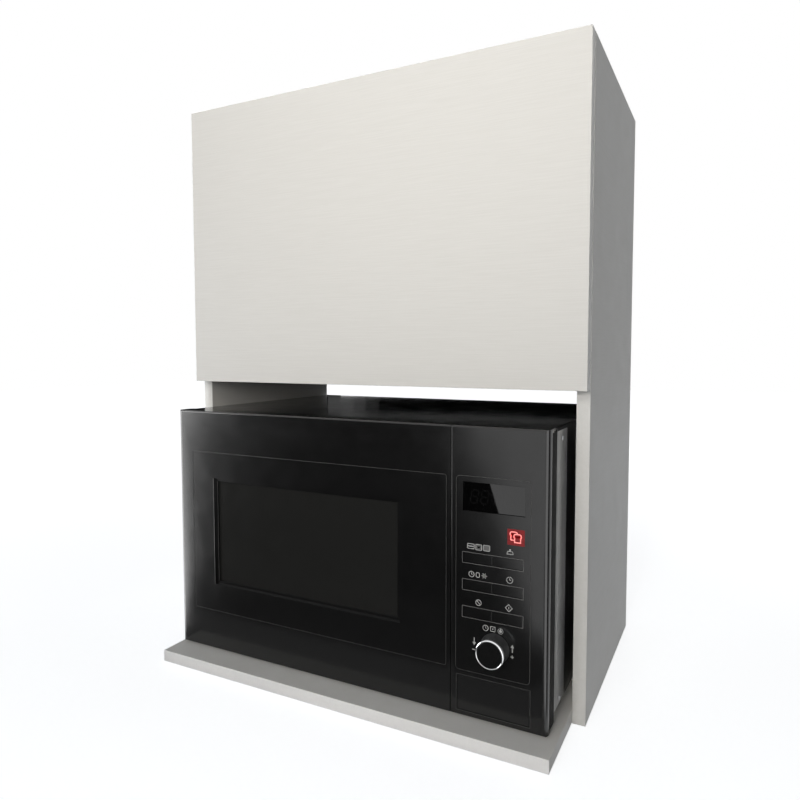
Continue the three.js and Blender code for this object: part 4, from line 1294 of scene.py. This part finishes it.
def addFloor():
    deselectAll()
    bpy.ops.mesh.primitive_plane_add(size=studio["floorSize"], location=(0, 0, -0.0006))
    floor = settle("studio_floor")
    material = bpy.data.materials.new("paleFloor")
    material.use_nodes = True
    tree = material.node_tree
    tree.nodes.clear()
    matt = tree.nodes.new("ShaderNodeBsdfDiffuse")
    setInputs(matt, {"Color": studio["floorAlbedo"]})
    glow = tree.nodes.new("ShaderNodeEmission")
    place = tree.nodes.new("ShaderNodeTexCoord")
    away = tree.nodes.new("ShaderNodeVectorMath")
    away.operation = "LENGTH"
    tree.links.new(place.outputs["Object"], away.inputs[0])
    rise = rangeNode(tree, away.outputs["Value"], *studio["glowReach"], *studio["floorGlow"])
    tree.links.new(rise, glow.inputs["Strength"])
    lit = tree.nodes.new("ShaderNodeAddShader")
    tree.links.new(matt.outputs["BSDF"], lit.inputs[0])
    tree.links.new(glow.outputs["Emission"], lit.inputs[1])
    mix = tree.nodes.new("ShaderNodeMixShader")
    tree.links.new(backgroundShare(tree), mix.inputs["Fac"])
    tree.links.new(matt.outputs["BSDF"], mix.inputs[1])
    tree.links.new(lit.outputs["Shader"], mix.inputs[2])
    out = tree.nodes.new("ShaderNodeOutputMaterial")
    tree.links.new(mix.outputs["Shader"], out.inputs["Surface"])
    floor.data.materials.append(material)


# Studio cards that only mirrors see. Floor cards are a name, a light and four (x, y) corners.
farY = -3.3
floorCards = [
    ("near", 0.16, [(-0.315, -0.205), (0.30, -0.205), (0.30, -0.30), (-0.41, -0.30)]),
    ("middle", 0.03, [(-0.41, -0.30), (0.30, -0.30), (0.16, -0.50), (-0.625, -0.50)]),
    ("centre", 0.0, [(0.16, -0.50), (-0.625, -0.50), (-3.707, farY), (-1.05, farY)]),
    ("front", 1.17, [(0.16, -0.50), (0.27, -0.50), (0.0, farY), (-1.05, farY)]),
    ("dip", 0.35, [(0.27, -0.21), (0.31, -0.21), (0.50, -1.10), (0.22, -1.10)]),
    ("shine", 2.2, [(0.33, -0.23), (0.36, -0.21), (2.60, -1.40), (1.40, farY)]),
    ("left_near", 6.0, [(-0.315, -0.20), (-0.625, -0.50), (-1.20, -0.50), (-1.20, -0.19)]),
    ("left", 6.0, [(-0.625, -0.50), (-2.506, -2.20), (-2.506, -0.20), (-1.20, -0.19)]),
    ("side", 0.0, [(0.33, -0.16), (0.36, -0.20), (2.60, -1.20), (2.60, 0.02)]),
]
# Standing cards are a name, a light, two (x, y) feet and a height.
wallCards = [
    ("far", 0.0, (-3.707, farY), (-1.05, farY), 1.0),
    ("front", 1.17, (-1.05, farY), (0.0, farY), 0.8),
    ("shine", 2.2, (1.40, farY), (2.60, -1.40), 0.9),
    ("left", 6.0, (-2.506, -2.20), (-2.506, -0.20), 0.9),
    ("side", 0.0, (2.60, -1.20), (2.60, 0.02), 1.2),
]
# Cards that face the wall are left and right x, y and a span of heights.
wedgeCard = (-1.40, -0.31, 0.30, (0.28, 0.66))
slotHeights = (0.3645, 0.4035)
nicheCard = (-0.2835, 0.2835, 0.2125, slotHeights)
# The soft light on the left of the case top: steps of left and right x, and a light.
patchY = 0.212
patchSteps = [(-0.2835, -0.222, 0.082), (-0.222, -0.195, 0.055), (-0.195, -0.165, 0.022)]


def cardMaterial(glow):
    material, tree, shader = newMaterial(f"card_{glow:.1f}")
    setInputs(shader, {
        "Base Color": (0.003, 0.003, 0.003, 1), "Specular IOR Level": 0.0,
        "Emission Color": (1, 1, 1, 1), "Emission Strength": glow,
    })
    return material


def addCard(name, glow, corners):
    deselectAll()
    bpy.ops.mesh.primitive_plane_add(size=1)
    card = settle(name)
    order = sorted(card.data.vertices, key=lambda v: math.atan2(v.co.y, v.co.x))
    for vertex, corner in zip(order, corners):
        vertex.co = corner
    card.data.materials.append(cardMaterial(glow))
    card.visible_camera = False
    card.visible_diffuse = False
    card.visible_shadow = False
    card.visible_transmission = False
    return card


def uprightCorners(left, right, y, heights):
    low, high = heights
    return [(left, y, low), (right, y, low), (right, y, high), (left, y, high)]


addWorld()
addFloor()
for step, (name, glow, corners) in enumerate(floorCards):
    addCard(f"card_floor_{name}", glow, [(x, y, 0.0008 + 0.0002 * step) for x, y in corners])
for name, glow, (ax, ay), (bx, by), tall in wallCards:
    addCard(f"card_wall_{name}", glow, [(ax, ay, 0), (bx, by, 0), (bx, by, tall), (ax, ay, tall)])
addCard("card_wedge", 0.0, uprightCorners(*wedgeCard))
for step, (left, right, glow) in enumerate(patchSteps):
    addCard(f"card_patch_{step}", glow, uprightCorners(left, right, patchY, slotHeights))
# The niche card also keeps daylight out of the slot over the oven.
nicheBlock = addCard("card_niche", 0.0, uprightCorners(*nicheCard))
nicheBlock.visible_diffuse = True
nicheBlock.visible_shadow = True
for lamp in lampSettings:
    addLamp(*lamp)
addTopSpot()
bpy.context.scene.view_settings.view_transform = "Standard"
print("stage: floor and light made")
